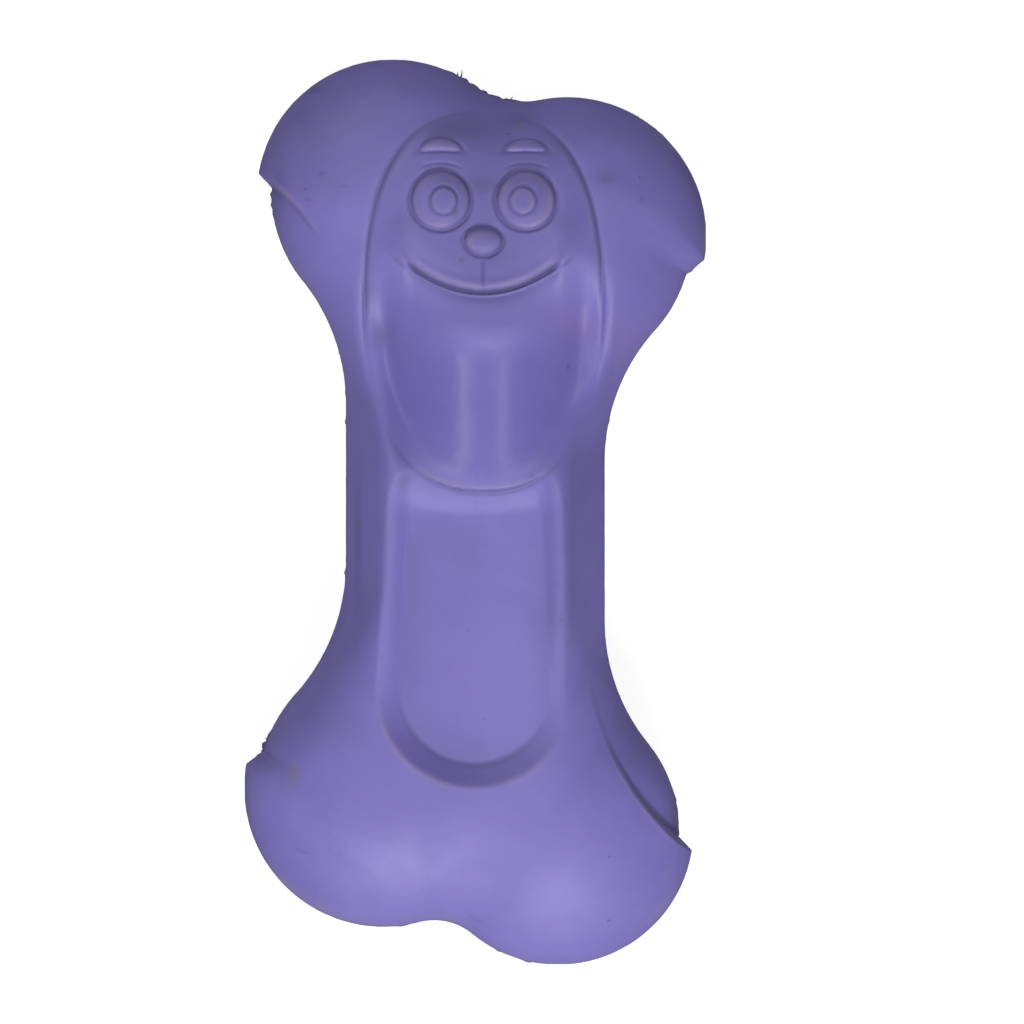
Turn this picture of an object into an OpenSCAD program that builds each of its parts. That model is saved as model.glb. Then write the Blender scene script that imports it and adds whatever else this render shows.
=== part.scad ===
// Bone-shaped rubber chew toy: a hollow moulding in two halves, bonded at mid-depth,
// with a squeaker pressed into the back half.
// The toy lies on its back. +Z is up and +Y points to the end with the face.
// The origin is on the resting plane, under the middle of the outline.

/* [Bone outline] */
// Overall length of the bone
toy_length = 170; // [160:1:180]
// Overall width across the two low lobes
toy_width = 86.7; // [82:0.1:92]
// Radius of the high lobe of each end, the one farther from the middle
high_lobe_r = 25.4; // [24:0.1:27]
// Radius of the low lobe of each end
low_lobe_r = 26.1; // [24:0.1:28]
// How much nearer the middle the low lobe of each end sits
lobe_skew = 7.8; // [5:0.1:10]
// How much nearer the long axis the high lobe of each end sits
high_lobe_inset = 1.7; // [0:0.1:3]
// Width of the shaft
shaft_w = 48.5; // [44:0.1:54]
// Radius of the hollow curve between shaft and lobe
neck_r = 37; // [32:0.5:42]
// Radius of the dip between the lobes at the end with the face
face_dip_r = 16.5; // [12:0.5:22]
// Radius of the dip between the lobes at the plain end
foot_dip_r = 11.3; // [9:0.1:16]

/* [Ledges] */
// How far each lobe stands out past the body at its ledge
ledge_step = 2.8; // [1.6:0.1:3.4]
// Height of a high lobe's ledge above the lobe's centre, towards the end
high_ledge_rise = 4; // [2:0.1:6]
// Distance of a low lobe's ledge from the lobe's centre, towards the shaft
low_ledge_drop = 4.4; // [2:0.1:6]
// Length of the ledge's slant along the bone
ledge_run = 2.6; // [1.6:0.1:3.4]
// Radius of the crease that runs in from a ledge
crease_r = 50; // [42:1:58]
// Distance of the crease from the long axis where it dies out
crease_in = 21; // [20:0.1:22]
// Width over which the surface drops at a crease
crease_w = 2; // [1:0.1:3]

/* [Thickness] */
// Depth of the front half at the lobes
front_lobe_depth = 14.2; // [13.5:0.1:15.5]
// Depth of the front half along the shaft
front_shaft_depth = 14; // [13:0.1:16]
// Depth of the back half at the lobes
back_lobe_depth = 14.5; // [14:0.1:16]
// Depth of the back half along the shaft
back_shaft_depth = 13.5; // [13:0.1:14.5]
// Extra height in the middle of each lobe
lobe_crown = 1; // [0.8:0.1:2]
// Width of the sloping sides of the shaft
shaft_bevel = 8.2; // [6:0.1:8.8]
// Width of the rounding along the edge of the lobes
lobe_round = 25; // [20:0.5:26]
// Thickness of the rubber wall
wall = 4; // [3:0.1:4.5]
// Depth of the flats that the back lobes rest on
rest_flat = 0.5; // [0.3:0.1:0.7]

/* [Head] */
// Half of the width of the raised head
head_half_w = 22; // [20:0.1:23]
// Distance of the top of the head from the middle of the toy
head_top = 74.6; // [72:0.1:76]
// Distance of the chin from the middle of the toy
chin_y = 3.6; // [2.5:0.1:6]
// Sideways offset of the face and the recess from the long axis
head_shift = 1.6; // [0:0.1:2]
// How square the head's oval is: 2 is an ellipse
head_square = 2.4; // [2:0.1:3]
// Height of the upper face over the body
head_rise = 2.6; // [1.5:0.1:3.5]
// Height of the jaw over the body
jaw_rise = 2; // [1:0.1:2.5]
// How much higher the face is over the mouth
muzzle_rise = 1.3; // [0.5:0.1:2]
// Radius of the jaw's arch across the bone
jaw_round = 20; // [17:0.5:24]
// Length over which the jaw's arch dies out into the upper face, on each side of the mouth
jaw_fade = 10; // [6:0.5:14]
// Width of the soft line round the head
soft_rim = 4; // [2:0.5:5]
// Distance of the middle of the mouth from the middle of the toy
mouth_y = 40.6; // [38:0.1:44]
// Half of the width of the mouth
mouth_half_w = 15; // [12:0.5:18]
// How far the corners of the mouth rise over its middle
smile_rise = 6; // [3:0.1:8]
// Depth of the mouth's groove
mouth_depth = 1.5; // [0.8:0.1:2]
// Half of the width of the mouth's groove
mouth_groove_w = 1.3; // [1:0.1:1.8]
// Distance of each eye from the middle of the face
eye_x = 7.9; // [7:0.1:9]
// Distance of the eyes from the middle of the toy
eye_y = 57.6; // [55:0.1:60]
// Radius of an eye
eye_r = 5.4; // [4:0.1:6]
// Height of an eye over the face
eye_rise = 1.7; // [0.8:0.1:2.4]
// Radius of a pupil
pupil_r = 2.3; // [1.5:0.1:3]
// Height of the nose over the face
nose_rise = 1.8; // [1:0.1:2.5]
// Distance of the nose from the middle of the toy
nose_y = 49.8; // [48:0.1:52]
// Half of the width of the nose
nose_half_w = 3.4; // [2.5:0.1:4.5]

/* [Recess] */
// Distance of the top of the recess floor from the middle of the toy, towards the face
recess_top = -0.4; // [-2:0.1:0]
// How far the top corners of the floor lie above the middle of its top edge
recess_top_rise = 1.2; // [0:0.1:2]
// Radius of the floor's top corners
recess_corner_r = 1.4; // [1:0.1:3]
// Half of the width of the recess floor at its top
recess_half_w = 12.3; // [10:0.1:13]
// Radius of the round end of the recess floor
recess_end_r = 14; // [12:0.1:15]
// Distance of the middle of that round end from the middle of the toy
recess_end_y = 32.8; // [28:0.1:35]
// Depth of the recess
recess_depth = 2.7; // [2:0.1:3.5]
// Width of the recess wall's slope
recess_slope = 4.3; // [3:0.1:5]
// Length of the ramp that leads down into the recess from the chin
ramp_len = 8; // [5:0.5:12]

/* [Squeaker] */
// Outer diameter of the squeaker cup
cup_d = 19.6; // [18:0.1:20]
// Length of the cup from its outer face
cup_len = 12.4; // [11.5:0.1:13]
// Wall thickness of the cup
cup_wall = 1.2; // [1:0.1:1.4]
// Diameter of the cup's flange
flange_d = 23.6; // [22.8:0.1:24]
// Thickness of the flange
flange_t = 1.2; // [1:0.1:1.6]
// Diameter of the sound hole
sound_hole_d = 3.2; // [2:0.1:4]
// Outer diameter of the rubber collar round the cup
collar_d = 28; // [26:0.5:32]
// Height of the collar over the inside of the wall
collar_h = 4.6; // [3.5:0.1:5.5]
// Thickness of the cap
cap_t = 1.6; // [1.2:0.1:2]
// Diameter of the reed bed
bed_d = 7.6; // [7:0.1:8]
// Length of the reed bed below the cap's top face
bed_len = 9; // [8.5:0.1:9.6]
// Width of the reed
reed_w = 4; // [3:0.1:4.4]
// Thickness of the reed
reed_t = 0.25; // [0.2:0.01:0.3]
// Length of the reed below its hinge line
reed_len = 5.6; // [5:0.1:6]
// Clearance between parts that slide or press into each other
fit = 0.1; // [0.05:0.01:0.15]

/* [Smoothness] */
// Facets across the front
front_facets = 52; // [32:4:56]
// Facets across the back
back_facets = 32; // [24:4:40]

/* [Hidden] */
$fn = 96;
// Length that every cut overruns the face it goes through
over = 0.5;
// A length longer than any in the toy
far = 2 * toy_length;

// The end with the face, in its own quarter: x is the distance from the long axis
high_centre = [toy_width / 2 - low_lobe_r - high_lobe_inset, toy_length / 2 - high_lobe_r];
low_centre = [toy_width / 2 - low_lobe_r, high_centre.y - lobe_skew];

// Height of the bonding plane over the resting plane
part_z = back_lobe_depth + lobe_crown - rest_flat;

// Where the shaft starts to turn into the lobes, and how long that takes
lobe_start_share = 0.26;
lobe_blend_share = 0.42;
lobe_start = lobe_start_share * toy_length / 2;
lobe_blend = lobe_blend_share * toy_length / 2;

// How far inwards the corner at the tip of a ledge is softened
ledge_soft_share = 0.5;

// How much of the shaft's edge is its round lip, how soft the top of its slope is, and how
// much softer it gets along the shaft, between these distances from the middle
lip_share = 0.15;
soft_top_share = 0.25;
soft_growth = 3;
soft_start_share = 0.19;
soft_run_share = 0.26;

// How much of the ramp the chin fills in
chin_lift_share = 0.3;

// How quickly the end's curve fades out along the shaft, how far opposite points are moved
// to be level, and how much closer facets lie near the outline
end_fade = 6;
level_share = 0.56;
crowd_share = 0.45;
// How much closer facets lie towards the face
face_bias = 1.15;

// Smooth steps and rounded edges
function ease(t) = let (c = min(max(t, 0), 1)) c * c * (3 - 2 * c);
function rounded(t) = t >= 1 ? 1 : t <= 0 ? 0 : sqrt(1 - pow(1 - t, 2));
function dome(t) = t >= 1 ? 0 : sqrt(1 - t * t);

// A straight rise from 0 to 1, with its corners rounded over the share k
function above_zero(t, k) = t <= -k ? 0 : t >= k ? t : pow(t + k, 2) / (4 * k);
function ramp(t, k) = above_zero(t, k) - above_zero(t - 1, k);

// The edge of the shaft: a short round lip, then a straight slope with a soft top
function bevelled(t, soft) =
    let (s = mix(max(t, 0), sqrt(min(max(t, 0), 1)), lip_share))
    s - above_zero(s - 1, soft);
function top_softness(y) =
    let (along = (2 * abs(y) / toy_length - soft_start_share) / soft_run_share)
    soft_top_share * (1 + soft_growth * ease(along));
function mix(a, b, t) = a + (b - a) * t;
function angle_of(v) = atan2(v.y, v.x);

// One side of one end, as [lobe centre, radius, body centre, ledge tip, ledge heel,
// neck centre, neck radius, half width of the shaft]
function side(high, inset, stepped) =
    let (
        lobe = high ? high_centre : low_centre,
        r = (high ? high_lobe_r : low_lobe_r) - inset,
        body = lobe - [ledge_step, 0],
        centre = stepped ? lobe : body,
        rise = high ? high_ledge_rise : -low_ledge_drop,
        half = shaft_w / 2 - inset,
        hollow = neck_r + inset,
        neck_x = half + hollow,
        neck = [neck_x, body.y - sqrt(pow(r + hollow, 2) - pow(neck_x - body.x, 2))],
        tip = [centre.x + sqrt(r * r - rise * rise), centre.y + rise],
        heel_y = stepped ? tip.y - ledge_run : tip.y,
        heel = [body.x + sqrt(r * r - pow(heel_y - body.y, 2)), heel_y]
    )
    [centre, r, body, tip, heel, neck, hollow, half];

// Centre of a circle of radius r that touches the circles (a, ra) and (b, rb) from outside
function touching(a, ra, b, rb, r) =
    let (
        gap = norm(b - a),
        along = (pow(ra + r, 2) - pow(rb + r, 2) + gap * gap) / (2 * gap),
        up = sqrt(pow(ra + r, 2) - along * along),
        dir = (b - a) / gap
    )
    a + along * dir + up * [-dir.y, dir.x];

// One end, as [high side, low side, dip centre, dip radius]
function end_shape(dip_r, inset, stepped) =
    let (
        high = side(true, inset, stepped),
        low = side(false, inset, stepped),
        dip = touching([-high[0].x, high[0].y], high[1], low[0], low[1], dip_r + inset)
    )
    [high, low, dip, dip_r + inset];

// Both ends, with the same turn of half a circle between them
function outline_shape(inset, stepped) = [
    end_shape(face_dip_r, inset, stepped),
    end_shape(foot_dip_r, inset, stepped)
];
outer_shape = outline_shape(0, true);
inner_shape = outline_shape(wall, false);

// Distance from a point to a segment
function segment_distance(p, a, b) =
    let (t = min(max((p - a) * (b - a) / max((b - a) * (b - a), pow(fit, 2)), 0), 1))
    norm(p - mix(a, b, t));

// Distance from a point to an arc, where the point lies in the arc's sector
function arc_distance(p, centre, r, from, to) =
    let (a = angle_of(p - centre))
    a >= from && a <= to ? abs(norm(p - centre) - r) : far;

// Distance from a lobe's arc, or from its tip for a point past that
function lobe_distance(p, s, dip) =
    let (a = angle_of(p - s[0]))
    a > angle_of(dip - s[0])
        ? far
        : a >= angle_of(s[3] - s[0]) ? abs(norm(p - s[0]) - s[1]) : norm(p - s[3]);

// Distance from a point inside the outline to the outline, softened inwards of the ledges
function edge_distance(p, shape) =
    let (
        turned = p.y < 0,
        q = turned ? -p : p,
        end = shape[turned ? 1 : 0],
        high = q.x < 0,
        s = end[high ? 0 : 1],
        m = [abs(q.x), q.y],
        dip = high ? [-end[2].x, end[2].y] : end[2],
        left = [-end[0][0].x, end[0][0].y],
        trunk = min(
            m.y <= s[5].y ? abs(s[7] - m.x) : far,
            m.y > s[5].y ? arc_distance(m, s[5], s[6], angle_of(s[2] - s[5]), 180) : far,
            arc_distance(m, s[2], s[1], angle_of(s[5] - s[2]), angle_of(s[4] - s[2])),
            segment_distance(m, s[3], s[4])
        ),
        lobes = min(
            lobe_distance(m, s, dip),
            arc_distance(q, left, end[0][1], angle_of(end[2] - left), 180),
            arc_distance(q, end[2], end[3], angle_of(left - end[2]), angle_of(end[1][0] - end[2]))
        )
    )
    trunk - above_zero(trunk - lobes, ledge_soft_share * min(trunk, lobes));

// How much of a lobe a place along the toy has, from 0 on the shaft to 1 at the ends
function lobe_weight(y) = ease((abs(y) - lobe_start) / lobe_blend);

// Extra height over the middle of the nearest lobes
function crown(p) =
    let (
        q = p.y < 0 ? -p : p,
        high = 1 - pow(norm(q - [-high_centre.x, high_centre.y]) / high_lobe_r, 2),
        low = 1 - pow(norm(q - low_centre) / low_lobe_r, 2)
    )
    lobe_crown * (pow(max(high, 0), 1.5) + pow(max(low, 0), 1.5));

// Height of the plain bone over the bonding plane
function bone_height(p, front) =
    let (
        q = p.y < 0 ? -p : p,
        high = q.x < 0,
        s = outer_shape[0][high ? 0 : 1],
        m = [abs(q.x), q.y],
        crease_x = crease_in + crease_r,
        crease_y = s[4].y - sqrt(pow(crease_r, 2) - pow(crease_x - s[4].x, 2)),
        edge = edge_distance(p, outer_shape),
        lobe_edge = max(edge, s[1] - norm(m - s[0])),
        over_crease = ease((norm(m - [crease_x, crease_y]) - crease_r) / crease_w),
        weight = lobe_weight(p.y),
        low_depth = front ? front_shaft_depth : back_shaft_depth,
        high_depth = front ? front_lobe_depth : back_lobe_depth,
        depth = mix(low_depth, high_depth, weight) + crown(p),
        slope = bevelled(edge / shaft_bevel, top_softness(p.y)),
        plain = mix(slope, rounded(edge / lobe_round), weight),
        raised = rounded(lobe_edge / lobe_round),
        creased = front == high ? mix(plain, raised, over_crease * weight) : plain,
        in_head = ramp((1 - head_reach(p)) * head_half_w / soft_rim, 1),
        jaw = front ? in_head * ease((mouth_y - p.y) / (2 * jaw_fade) + 0.5) : 0,
        arch = 1 - pow(p.x - head_shift, 2) / (2 * jaw_round * depth),
        jaw_top = arch - above_zero(arch - edge / shaft_bevel, soft_top_share)
    )
    depth * mix(creased, jaw_top, jaw);

// The height h where the recess has a level floor, with a ramp under the chin
function recessed(h, p) =
    let (
        x = abs(p.x),
        y = p.y + recess_end_y,
        half = mix(recess_end_r, recess_half_w, min(max(y / recess_end_y, 0), 1)),
        top = recess_end_y + recess_top + recess_top_rise * pow(x / half, 2),
        beside = (y > 0 ? x - half : norm([x, y]) - recess_end_r) + recess_corner_r,
        beyond = (y - top) * recess_slope / ramp_len + recess_corner_r,
        corner = norm([max(beside, 0), max(beyond, 0)]),
        outside = min(max(beside, beyond), 0) + corner - recess_corner_r,
        under_chin = ramp((1 - head_reach(p)) * head_half_w / soft_rim, 1),
        cut = (1 - ramp(outside / recess_slope, soft_top_share / 2)) * (1 - chin_lift_share * under_chin)
    )
    h - cut * max(h - front_shaft_depth + recess_depth, 0);

// 1 at the outline of the head, less inside it and more outside
function head_reach(p) =
    let (
        half_len = (head_top - chin_y) / 2,
        x = abs(p.x - head_shift) / head_half_w,
        y = abs(p.y - chin_y - half_len) / half_len
    )
    pow(pow(x, head_square) + pow(y, head_square), 1 / head_square);

// Height of the moulded head over the bone
function face_relief(p) =
    let (
        x = p.x - head_shift,
        reach = head_reach(p),
        upper = ease((p.y - mouth_y / 2) / (2 * jaw_fade)),
        pillow = mix(max(1 - pow(reach, 2), 0), sqrt(max(1 - pow(reach, 4), 0)), upper),
        mouth = mouth_y + smile_rise * pow(x / mouth_half_w, 2),
        above = p.y - mouth,
        lip = jaw_rise / 3 * exp(-pow((above + 6 * mouth_groove_w) / (2.4 * mouth_groove_w), 2)),
        over_mouth = above > 0 ? exp(-pow(above / (7 * mouth_groove_w), 2)) : ease(above / mouth_groove_w + 1),
        muzzle = muzzle_rise * over_mouth * ease((head_half_w - abs(x)) / (head_half_w / 2)),
        in_mouth = ease((mouth_half_w - abs(x)) / (2 * mouth_groove_w)),
        blend = ease((above + 8 * mouth_groove_w) / (16 * mouth_groove_w)),
        level = mix(jaw_rise, head_rise, mix(blend, ease(above / mouth_groove_w + 0.5), in_mouth)),
        groove = mouth_depth * in_mouth * (1 - ease(abs(above) / mouth_groove_w)),
        ex = abs(x) - eye_x,
        ey = p.y - eye_y,
        eye = eye_rise * dome(norm([ex, ey]) / eye_r),
        pupil = eye_rise / 5 * (1 - ease((norm([ex, ey]) - pupil_r) / (pupil_r / 3))),
        brow_y = ey - 1.95 * eye_r + ex * ex / (3.4 * eye_r),
        brow = eye_rise / 2 * dome(norm([ex / (0.7 * eye_r), brow_y / (0.25 * eye_r)])),
        cheek_at = [abs(x) - 0.9 * mouth_half_w, p.y - mouth_y - 1.7 * smile_rise],
        cheek = eye_rise / 3 * exp(-pow(norm(cheek_at) / (0.8 * eye_r), 2)),
        nose = nose_rise * dome(norm([x / nose_half_w, (p.y - nose_y) / (0.72 * nose_half_w)]))
    )
    pillow * (level + muzzle + lip) - groove + eye + pupil + brow + cheek + nose;

// Heights of the outer and the inner skin over the bonding plane
function outer_height(p, front) =
    front
        ? recessed(bone_height(p, true), p)
            + face_relief(p) * rounded(edge_distance(p, outer_shape) / wall)
        : bone_height(p, false);
function inner_height(p, front) =
    let (
        weight = lobe_weight(p.y),
        low_depth = (front ? front_shaft_depth : back_shaft_depth) - wall,
        high_depth = (front ? front_lobe_depth : back_lobe_depth) - wall,
        slope = shaft_bevel * low_depth / (low_depth + wall),
        edge = edge_distance(p, inner_shape),
        side = bevelled(edge / slope, top_softness(p.y)),
        roof = mix(side, rounded(edge / (lobe_round - wall)), weight),
        bone = bone_height(p, front),
        room = (front ? recessed(bone, p) : bone) - wall
    )
    max(min(mix(low_depth, high_depth, weight) * roof, room), fit);

// A path is a list of arcs [centre, radius, from, to] and straight lines [start, end]
function piece_length(e) = len(e) == 2 ? norm(e[1] - e[0]) : e[1] * abs(e[3] - e[2]) * PI / 180;
function piece_point(e, t) =
    len(e) == 2
        ? mix(e[0], e[1], t)
        : e[0] + e[1] * [cos(mix(e[2], e[3], t)), sin(mix(e[2], e[3], t))];
function path_length(path, i = 0) =
    i == len(path) ? 0 : piece_length(path[i]) + path_length(path, i + 1);
function walk(path, s, i = 0) =
    let (l = piece_length(path[i]))
    s <= l || i == len(path) - 1
        ? piece_point(path[i], l > 0 ? min(s / l, 1) : 0)
        : walk(path, s - l, i + 1);

// The path over one end, from the high lobe's ledge tip to the low lobe's
function over_end(end) =
    let (
        high = end[0],
        low = end[1],
        dip = end[2],
        left = [-high[0].x, high[0].y]
    )
    [
        [left, high[1], 180 - angle_of(high[3] - high[0]), angle_of(dip - left)],
        [dip, end[3], angle_of(left - dip), angle_of(low[0] - dip)],
        [low[0], low[1], angle_of(dip - low[0]), angle_of(low[3] - low[0])]
    ];

// The path down one side of one end, from the ledge tip to the middle of the toy
function down_side(s) = [
    [s[3], s[4]],
    [s[2], s[1], angle_of(s[4] - s[2]), angle_of(s[5] - s[2])],
    [s[5], s[6], angle_of(s[2] - s[5]), 180],
    [[s[7], s[5].y], [s[7], 0]]
];

// A point on the side that runs from a low ledge to the other end's high ledge.
// Steps are moved along it so that points across the shaft from each other are level.
function side_point(shape, t, turned) =
    let (
        first = down_side(shape[turned ? 1 : 0][1]),
        last = down_side(shape[turned ? 0 : 1][0]),
        first_len = path_length(first),
        shift = (shape[0][0][3].y - shape[0][1][3].y) * level_share,
        s = t * (first_len + path_length(last)) - shift * (1 - pow(2 * t - 1, 4)),
        p = s < first_len
            ? walk(first, s)
            : let (b = walk(last, first_len + path_length(last) - s)) [b.x, -b.y]
    )
    turned ? -p : p;

// Spreads steps so that they lie closer together near both ends
function crowded(t) = mix(t, (1 - cos(180 * t)) / 2, crowd_share);

// Points of a sheet stretched over the outline, in rows from the foot to the face
function sheet_points(shape, across, along) =
    let (
        top = over_end(shape[0]),
        bottom = over_end(shape[1]),
        top_len = path_length(top),
        bottom_len = path_length(bottom),
        us = [for (i = [0 : across]) crowded(i / across)],
        tops = [for (u = us) walk(top, u * top_len)],
        bottoms = [for (u = us) -walk(bottom, (1 - u) * bottom_len)]
    )
    [for (j = [0 : along])
        let (
            v = crowded(1 - pow(1 - j / along, face_bias)),
            right = side_point(shape, 1 - v, false),
            left = side_point(shape, v, true),
            up = pow(v, end_fade),
            down = pow(1 - v, end_fade)
        )
        for (i = [0 : across])
            let (u = us[i])
            mix(left, right, u)
                + up * (tops[i] - mix(tops[0], tops[across], u))
                + down * (bottoms[i] - mix(bottoms[0], bottoms[across], u))
    ];

// Triangles of a sheet, each four-sided cell cut along its more level diagonal
function sheet_faces(points, across, along, start, inside) = [
    for (j = [0 : along - 1], i = [0 : across - 1])
        let (
            a = j * (across + 1) + i,
            b = a + 1,
            c = a + across + 1,
            d = c + 1,
            rising = abs(points[a].z - points[d].z) <= abs(points[b].z - points[c].z),
            cell = rising ? [[a, d, b], [a, c, d]] : [[a, c, b], [b, c, d]]
        )
        for (t = cell) [for (n = [0 : 2]) start + t[inside ? 2 - n : n]]
];

// Numbers of the points round a sheet's border
function border(across, along, start) = [
    for (i = [0 : across - 1]) start + i,
    for (j = [0 : along - 1]) start + j * (across + 1) + across,
    for (i = [0 : across - 1]) start + along * (across + 1) + across - i,
    for (j = [0 : along - 1]) start + (along - j) * (across + 1)
];

// A half of the hollow bone, standing on the bonding plane with its skin upwards
module half_shell(front, across, ratio) {
    along = ratio * round(across * 7 / 4 / ratio);
    in_across = across / ratio;
    in_along = along / ratio;
    outer = sheet_points(outer_shape, across, along);
    inner = sheet_points(inner_shape, in_across, in_along);
    wide = across + 1;
    narrow = in_across + 1;
    outer_skin = [for (k = [0 : len(outer) - 1])
        let (
            i = k % wide,
            j = floor(k / wide),
            edge = i == 0 || i == across || j == 0 || j == along
        )
        [outer[k].x, outer[k].y, edge ? 0 : outer_height(outer[k], front)]];
    inner_skin = [for (k = [0 : len(inner) - 1])
        let (
            i = k % narrow,
            j = floor(k / narrow),
            edge = i == 0 || i == in_across || j == 0 || j == in_along
        )
        [inner[k].x, inner[k].y, edge ? 0 : inner_height(inner[k], front)]];
    rim_out = border(across, along, 0);
    rim_in = border(in_across, in_along, len(outer));
    rim = [for (k = [0 : len(rim_in) - 1])
        let (
            a = rim_in[k],
            b = rim_in[(k + 1) % len(rim_in)],
            around = [for (n = [0 : ratio]) rim_out[(ratio * k + n) % len(rim_out)]]
        )
        each concat(
            [for (n = [0 : ratio - 1]) [n < ratio / 2 ? a : b, around[n], around[n + 1]]],
            [[a, around[ratio / 2], b]]
        )];
    polyhedron(
        points = concat(outer_skin, inner_skin),
        faces = concat(
            sheet_faces(outer_skin, across, along, 0, false),
            sheet_faces(inner_skin, in_across, in_along, len(outer), true),
            rim
        ),
        convexity = 6
    );
}

module front_half() {
    color([0.44, 0.40, 0.67])
    intersection() {
        translate([0, 0, part_z]) half_shell(true, front_facets, 4);
        translate([-toy_width, -toy_length, part_z]) cube([2 * toy_width, 2 * toy_length, far]);
    }
}

// Places along the squeaker's axis, from its outer face inwards
cup_z = part_z - back_shaft_depth + fit;
flange_top = cup_z + flange_t;
cup_top = cup_z + cup_len;
hole_d = cup_d + 2 * fit;
bead = 4 * fit;
bead_h = flange_t;
collar_top = part_z - back_shaft_depth + wall + collar_h;
bead_z = mix(flange_top, collar_top, 0.5) - bead_h / 2;
bore_d = cup_d - 2 * cup_wall;
seat_z = cup_top - cap_t;
seat_step = cup_wall * 2 / 3;
sleeve_wall = cup_wall;
bed_flange_t = cap_t / 2;
bed_z = cup_top - bed_len;
hinge_z = cup_top - bed_len + reed_len + 4 * fit;
root_len = flange_t;

module back_half() {
    color([0.42, 0.38, 0.65])
    difference() {
        union() {
            intersection() {
                translate([0, 0, part_z]) mirror([0, 0, 1]) half_shell(false, back_facets, 2);
                translate([-toy_width, -toy_length, 0]) cube([2 * toy_width, 2 * toy_length, part_z]);
            }
            translate([0, 0, part_z - back_shaft_depth + wall / 2])
                cylinder(d = collar_d, h = wall / 2 + collar_h);
        }
        translate([0, 0, -over]) cylinder(d = hole_d, h = part_z);
        translate([0, 0, -over]) cylinder(d = flange_d + 2 * fit, h = flange_top + over);
        translate([0, 0, bead_z - fit])
            cylinder(d = cup_d + 2 * bead + 2 * fit, h = bead_h + 2 * fit);
    }
}

module squeaker_cup() {
    color([0.90, 0.89, 0.85])
    difference() {
        union() {
            translate([0, 0, cup_z]) cylinder(d = flange_d, h = flange_t);
            translate([0, 0, cup_z]) cylinder(d = cup_d, h = cup_len);
            translate([0, 0, bead_z]) cylinder(d = cup_d + 2 * bead, h = bead_h);
        }
        translate([0, 0, flange_top]) cylinder(d = bore_d - 2 * seat_step, h = cup_len);
        translate([0, 0, seat_z]) cylinder(d = bore_d, h = cup_len);
        translate([0, 0, cup_z - over]) cylinder(d = sound_hole_d, h = flange_t + 2 * over);
    }
}

module squeaker_cap() {
    sleeve_len = bed_len - reed_len - cap_t + root_len;
    color([0.87, 0.87, 0.84])
    difference() {
        union() {
            translate([0, 0, seat_z]) cylinder(d = bore_d - 2 * fit, h = cap_t);
            translate([0, 0, seat_z - sleeve_len])
                cylinder(d = bed_d + 2 * fit + 2 * sleeve_wall, h = sleeve_len + over);
        }
        translate([0, 0, seat_z - sleeve_len - over])
            cylinder(d = bed_d + 2 * fit, h = sleeve_len + cap_t + 2 * over);
    }
}

module reed_bed() {
    slot = reed_t + 3 * fit;
    color([0.94, 0.93, 0.90])
    difference() {
        union() {
            translate([0, 0, bed_z]) cylinder(d = bed_d, h = bed_len);
            translate([0, 0, cup_top]) cylinder(d = bed_d + 2 * sleeve_wall, h = bed_flange_t);
        }
        translate([-bed_d, -slot / 2, bed_z - over])
            cube([2 * bed_d, bed_d, hinge_z - bed_z + over]);
        translate([-reed_w / 2 - fit, -slot / 2, bed_z])
            cube([reed_w + 2 * fit, slot, hinge_z - bed_z + root_len + 2 * fit]);
        translate([-reed_w / 4, -bed_d / 4, bed_z + fit * 6])
            cube([reed_w / 2, bed_d / 2, bed_len + bed_flange_t + over]);
    }
}

module reed() {
    color([0.96, 0.95, 0.88])
    translate([-reed_w / 2, -reed_t / 2, hinge_z - reed_len])
        cube([reed_w, reed_t, reed_len + root_len]);
}

front_half();
back_half();
squeaker_cup();
squeaker_cap();
reed_bed();
reed();
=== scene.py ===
"""Rubber chew toy: a hollow, bone-shaped moulding with a squeaker in its back."""

import math
from collections import namedtuple

import bmesh
import bpy
import numpy as np
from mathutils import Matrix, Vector


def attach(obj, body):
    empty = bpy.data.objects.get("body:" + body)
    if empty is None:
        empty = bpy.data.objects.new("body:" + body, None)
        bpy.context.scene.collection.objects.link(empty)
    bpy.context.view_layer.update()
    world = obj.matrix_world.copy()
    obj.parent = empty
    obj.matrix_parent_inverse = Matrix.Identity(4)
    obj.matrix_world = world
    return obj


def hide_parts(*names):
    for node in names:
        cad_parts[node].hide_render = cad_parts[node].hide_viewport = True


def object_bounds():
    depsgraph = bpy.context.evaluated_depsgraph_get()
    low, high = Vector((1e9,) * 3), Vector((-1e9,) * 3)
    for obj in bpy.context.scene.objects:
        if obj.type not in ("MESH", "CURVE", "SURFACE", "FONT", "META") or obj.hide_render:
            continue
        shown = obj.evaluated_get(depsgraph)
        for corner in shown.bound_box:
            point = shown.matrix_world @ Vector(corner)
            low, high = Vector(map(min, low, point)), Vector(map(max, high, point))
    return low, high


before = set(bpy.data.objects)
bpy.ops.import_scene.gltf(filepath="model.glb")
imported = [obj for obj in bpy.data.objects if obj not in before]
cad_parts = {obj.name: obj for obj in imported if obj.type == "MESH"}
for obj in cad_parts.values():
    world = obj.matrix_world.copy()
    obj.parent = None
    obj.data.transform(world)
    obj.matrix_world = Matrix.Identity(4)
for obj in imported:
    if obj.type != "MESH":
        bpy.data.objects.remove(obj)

# Everything below is in millimetres until a mesh or a lamp is made.
MM = 0.001


def as_lists(corners):
    return [list(corner) for corner in corners]


cad_box = as_lists(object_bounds())

# ---- Sizes of the toy, as in the part's source ----

LENGTH, WIDTH = 170.0, 86.7
HIGH_LOBE_R, LOW_LOBE_R = 25.4, 26.1
LOBE_SKEW, HIGH_LOBE_INSET = 7.8, 1.7
SHAFT_W, NECK_R = 48.5, 37.0
FACE_DIP_R, FOOT_DIP_R = 16.5, 11.3

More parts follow.
